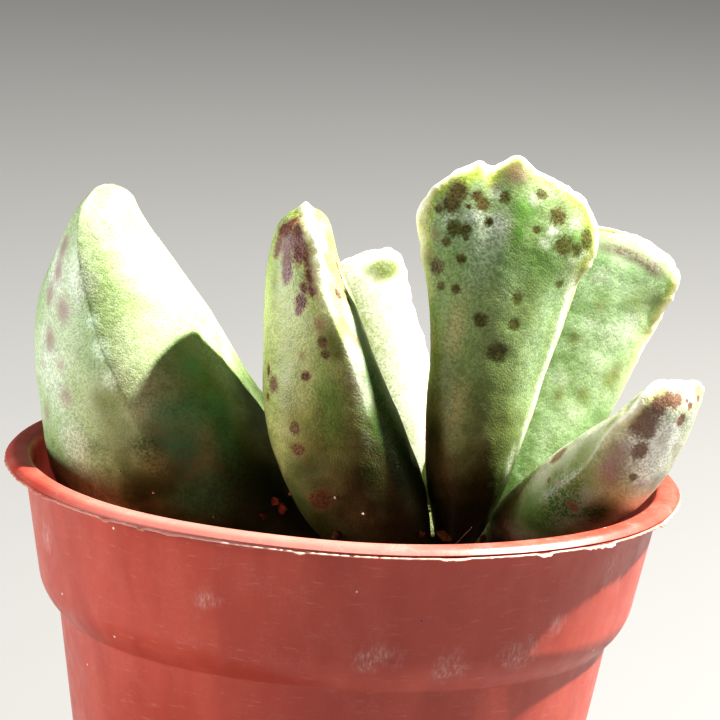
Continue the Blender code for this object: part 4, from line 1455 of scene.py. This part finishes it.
# The low leaf on the right, leaning out over the rim: grey with maroon speckled streaks, its face
# paled by washes of painted sunlight and its lower part darkened by painted shade
low_skin = make_skin(
    "low_leaf_skin", green=(0.34, 0.38, 0.16, 1.0), pale=(0.58, 0.60, 0.44, 1.0),
    deep=(0.08, 0.085, 0.012, 1.0), bloom=1.0, bloom_from=0.6, fresh=0.5, dark=0.55,
)
low_leaf = make_leaf(
    "low_leaf", low_skin,
    midline=((11.4, 0.5, -6.9), (15.6, -3.0, -2.5), (22.4, -10.3, 2.1), (25.5, -12.1, 11.3)),
    faces=((-0.47, 0.28, 1.0), (-0.68, 0.68, 0.17)),
    sections=(
        (0.0, 1.5, 1.5, 1.2, 1.2),
        (0.15, 2.7, 2.2, 2.4, 2.2),
        (0.45, 4.4, 4.1, 3.6, 3.5),
        (0.7, 5.1, 4.5, 3.3, 3.7),
        (0.88, 4.8, 3.8, 2.0, 2.2),
        (1.0, 4.4, 3.0, 0.9, 1.6),
    ),
    shoulder=0.92, square=2.6, crisp=0.3, scallop=0.12, crests=((-0.6, 0.4, 0.2),), horn_from=0.76,
    marks=(
        (0.957, -107, 0.29, 1.2, 1.00),
        (0.965, -78, 0.34, 1.3, 1.00),
        (0.880, -54, 0.59, 1.2, 0.80),
        (0.903, -39, 1.20, 1.1, 0.85),
        (0.950, -50, 0.72, 1.3, 0.95),
        (0.974, -64, 0.55, 1.3, 1.00),
        (0.978, -83, 0.46, 1.4, 1.00),
        (0.922, -97, 0.45, 1.3, 1.00),
        (0.962, -124, 0.22, 1.3, 1.00),
        (0.971, -101, 0.19, 1.0, 1.00),
        (0.828, -56, 0.60, 1.3, 0.75),
        (0.756, -62, 0.34, 1.0, 0.60),
        (0.579, -31, 0.56, 0.8, 0.75),
        (0.590, 9, 0.26, 1.0, 0.70),
        (0.551, 25, 0.26, 1.0, 0.70),
    ),
    washes=(
        (0.86, -66, 2.40, 1.3, WHITE, 0.95),
        (0.87, -88, 1.10, 1.4, WHITE, 0.90),
        (0.78, -79, 1.20, 1.3, WHITE, 0.80),
        (0.84, -84, 1.60, 1.4, WHITE, 0.70),
        (0.91, -115, 0.71, 1.3, PALE, 0.80),
        (0.98, -108, 0.71, 1.0, WHITE, 0.85),
        (0.99, -74, 0.63, 1.0, WHITE, 0.60),
        (0.93, -15, 0.55, 1.2, YOUNG, 0.60),
        (0.60, 14, 1.99, 1.2, OLIVE, 0.80),
        (0.66, -5, 1.60, 1.3, OLIVE, 0.80),
        (0.44, 4, 2.40, 1.2, GREEN, 0.60),
        (0.56, -22, 2.10, 1.3, PAINTED_SHADE, 0.75),
        (0.60, -55, 1.50, 1.3, PAINTED_SHADE, 0.85),
        (0.45, -28, 2.00, 1.3, PAINTED_SHADE, 0.60),
        (0.72, 28, 1.30, 1.4, OLIVE, 0.65),
        (0.84, 15, 0.55, 1.5, OLIVE, 0.70),
        (0.80, -33, 1.10, 1.1, MAROON, 0.55),
        (0.72, -41, 0.87, 1.0, BROWN, 0.50),
        (0.75, -36, 1.05, 1.1, PURPLE, 0.90),
        (0.74, -76, 0.63, 1.0, PURPLE, 0.40),
        (0.87, -79, 0.59, 1.2, MAROON, 0.20),
        (0.84, -105, 0.40, 1.3, MAROON, 0.35),
        (0.75, -94, 0.79, 1.0, MAROON, 0.30),
    ),
    hidden=(40, 220), drawn=16, size=0.45, red=0.9,
)

# The growing tip, a small young leaf on top of the stem
young_skin = make_skin(
    "young_leaf_skin", green=(0.34, 0.44, 0.14, 1.0), pale=(0.42, 0.50, 0.20, 1.0),
    deep=(0.22, 0.28, 0.07, 1.0), bloom=0.3, bloom_from=0.4, fresh=0.6,
)
young = make_leaf(
    "young_leaf", young_skin,
    midline=((7.7, 0.6, -3.0), (7.5, 1.2, -1.6), (7.9, 1.5, 0.2), (8.3, 1.3, 2.2)),
    faces=((0.2, -1.0, 0.2), (0.1, -1.0, 0.0)),
    sections=(
        (0.0, 0.9, 0.9, 0.7, 0.7),
        (0.4, 1.4, 1.4, 0.9, 1.0),
        (0.8, 1.2, 1.2, 0.7, 0.7),
        (1.0, 0.9, 0.9, 0.5, 0.5),
    ),
    shoulder=0.85, horn_from=0.8, lumps=0.03, hidden=(-180, 180), drawn=5, size=0.15, red=0.5,
)

for leaf, node in (
    (paddle, "leaf_paddle"),
    (front, "leaf_front"),
    (left, "leaf_left"),
    (back, "leaf_back"),
    (rear, "leaf_rear_right"),
    (low_leaf, "leaf_low_right"),
    (young, "growing_tip"),
):
    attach(leaf, "root")
    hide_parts(node)

# What lies on the leaves
# Crumbs of mix and bark caught low between the leaves, with a dry scale from an old leaf, a
# few grains of lime and one loose fibre.

# Crumbs, and then grains: where each lies, from the middle of the rim, and its size
CAUGHT_CRUMBS = (
    ((-5.3, -3.5, -2.6), 0.34),
    ((-4.7, -3.2, -3.2), 0.42),
    ((-6.2, -4.1, -3.7), 0.36),
    ((-0.2, -9.2, -3.7), 0.42),
    ((6.6, -8.3, -3.3), 0.38),
    ((11.6, -6.6, -3.8), 0.30),
)
LIME_GRAINS = (
    ((-0.5, -9.95, -0.4), 0.13),
    ((1.8, -9.95, -1.6), 0.10),
    ((-4.2, -2.2, -2.2), 0.13),
    ((-15.1, -7.05, -1.7), 0.12),
    ((-10.2, -5.35, -3.8), 0.10),
    ((-17.9, -6.95, -0.1), 0.09),
)
CAUGHT_SEED = 5
SCALE_AT = (8.4, -6.0, -3.9)
SCALE_SIZE = (0.75, 0.5, 0.5)
SCALE_TURN = (1.1, 0.3, 0.4)
SCALE_DARK = (0.28, 0.15, 0.05, 1.0)
SCALE_TAN = (0.42, 0.27, 0.10, 1.0)
SCALE_STRAW = (0.60, 0.46, 0.22, 1.0)
FIBRE_AT = (10.6, -6.6, -2.9)


def above_foot(place):
    """A place measured from the middle of the rim, measured from the pot's foot instead."""
    return place[0], place[1], place[2] + RIM_HEIGHT


def caught(places, shapes, draw):
    """Small bits, each at its own place and turned its own way."""
    bm = bmesh.new()
    for place, size in places:
        sides = [size * draw.uniform(0.75, 1.25) for _ in range(3)]
        turn = [draw.uniform(-pi, pi) for _ in range(3)]
        drop_in(bm, draw.choice(shapes), above_foot(place), sides, turn)
    return bm


draw = Random(CAUGHT_SEED)
crumbs = caught(CAUGHT_CRUMBS, large_shapes, draw)
caught_crumbs = finished("caught_crumbs", crumbs, bark_chip, LUMP_CREASE)
grains = caught(LIME_GRAINS, large_shapes, draw)
lime_grains = finished("lime_grains", grains, perlite, LUMP_CREASE)
dry_skin = earth("dry_leaf_scale", SCALE_DARK, SCALE_TAN, SCALE_STRAW, pale_share=0.3)
scale = bmesh.new()
drop_in(scale, chip_shapes[2], above_foot(SCALE_AT), SCALE_SIZE, SCALE_TURN)
dry_scale = finished("dry_scale", scale, dry_skin, LUMP_CREASE)
fibre = bmesh.new()
loose_fibre(
    fibre, above_foot(FIBRE_AT), draw, length=1.5, thickness=0.07, bend=1.5, climb=-1.2
)
bmesh.ops.recalc_face_normals(fibre, faces=fibre.faces)
caught_fibre = finished("caught_fibre", fibre, perlite, MIX_CREASE)
for bit in (caught_crumbs, lime_grains, dry_scale, caught_fibre):
    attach(bit, "root")

# Floor, lights and camera
# A plain pale table top in a plain room. One soft light stands high on the right, a little
# behind the plant, and a wide weak one fills from the left of the camera.

FLOOR_HALF = 2.5
FLOOR_GAP = 0.05
FLOOR_COLOUR = (0.23, 0.229, 0.225, 1.0)
FLOOR_PALER = (0.2323, 0.23129, 0.22725, 1.0)
ROOM_LIGHT = (0.80, 0.83, 0.88, 1.0)
ROOM_STRENGTH = 0.13
KEY_FROM = (0.356, 0.063, 0.525)
KEY_SIZE = 0.022
KEY_POWER = 15.0
KEY_COLOUR = (1.0, 0.975, 0.93)
FILL_FROM = (-0.70, -0.12, 0.15)
FILL_SIZE = 0.3
FILL_POWER = 4.8
FILL_COLOUR = (0.93, 0.97, 1.0)
CAMERA_ELEVATION = 13.0
CAMERA_ROLL = 3.85
CAMERA_DISTANCE = 400.0
SENSOR = 36.0
PICTURE_WIDTH = 720
# The lens, and where the rim's middle lies in the picture, both in the picture's pixels
FOCAL_PIXELS = 4900.0
RIM_MIDDLE = (343.6, 465.0)


def make_floor():
    """A large level sheet, faintly mottled."""
    made, tree, shader = empty_finish("pale_table_top")
    place = in_millimetres(tree)
    soft = fade(tree, cloud(tree, place, 0.02, 4.0), 0.3, 0.7)
    feed(tree, shader, {
        "Base Color": tint(tree, soft, FLOOR_COLOUR, FLOOR_PALER),
        "Roughness": 0.9,
        "Specular IOR Level": 0.2,
    })
    bm = bmesh.new()
    bmesh.ops.create_grid(bm, x_segments=4, y_segments=4, size=FLOOR_HALF)
    bmesh.ops.translate(bm, verts=bm.verts, vec=(0, 0, pot_low.z - FLOOR_GAP * MM))
    return finished("table_top", bm, made)


def shine(name, start, size, power, colour):
    """A square soft light at a place, turned to face the middle of the plant."""
    lamp = bpy.data.lights.new(name, "AREA")
    lamp.size = size
    lamp.energy = power
    lamp.color = colour
    holder = bpy.data.objects.new(name, lamp)
    holder.location = start
    holder.rotation_mode = "QUATERNION"
    holder.rotation_quaternion = (plant_middle - Vector(start)).to_track_quat("-Z", "Y")
    bpy.context.scene.collection.objects.link(holder)


make_floor()
plant_middle = Vector((0.0, 0.0, RIM_HEIGHT * MM))
shine("key_light", KEY_FROM, KEY_SIZE, KEY_POWER, KEY_COLOUR)
shine("fill_light", FILL_FROM, FILL_SIZE, FILL_POWER, FILL_COLOUR)
room = bpy.data.worlds.new("room")
room.use_nodes = True
backdrop = room.node_tree.nodes["Background"]
feed(room.node_tree, backdrop, {"Color": ROOM_LIGHT, "Strength": ROOM_STRENGTH})
bpy.context.scene.world = room
bpy.context.scene.view_settings.view_transform = "Standard"
bpy.context.scene.view_settings.look = "Medium High Contrast"

towards_camera = Vector((0.0, -cos(radians(CAMERA_ELEVATION)), sin(radians(CAMERA_ELEVATION))))
level = (-towards_camera).to_track_quat("-Z", "Y") @ Quaternion((0, 0, 1), radians(CAMERA_ROLL))
across_off = atan((PICTURE_WIDTH / 2 - RIM_MIDDLE[0]) / FOCAL_PIXELS)
down_off = atan((RIM_MIDDLE[1] - PICTURE_WIDTH / 2) / FOCAL_PIXELS)
lens = bpy.data.cameras.new("camera")
lens.sensor_width = SENSOR
lens.lens = SENSOR * FOCAL_PIXELS / PICTURE_WIDTH
lens.clip_start = 0.01
camera = bpy.data.objects.new("camera", lens)
camera.rotation_mode = "QUATERNION"
camera.location = plant_middle + towards_camera * CAMERA_DISTANCE * MM
camera.rotation_quaternion = level @ Euler((down_off, -across_off, 0)).to_quaternion()
bpy.context.scene.collection.objects.link(camera)
bpy.context.scene.camera = camera
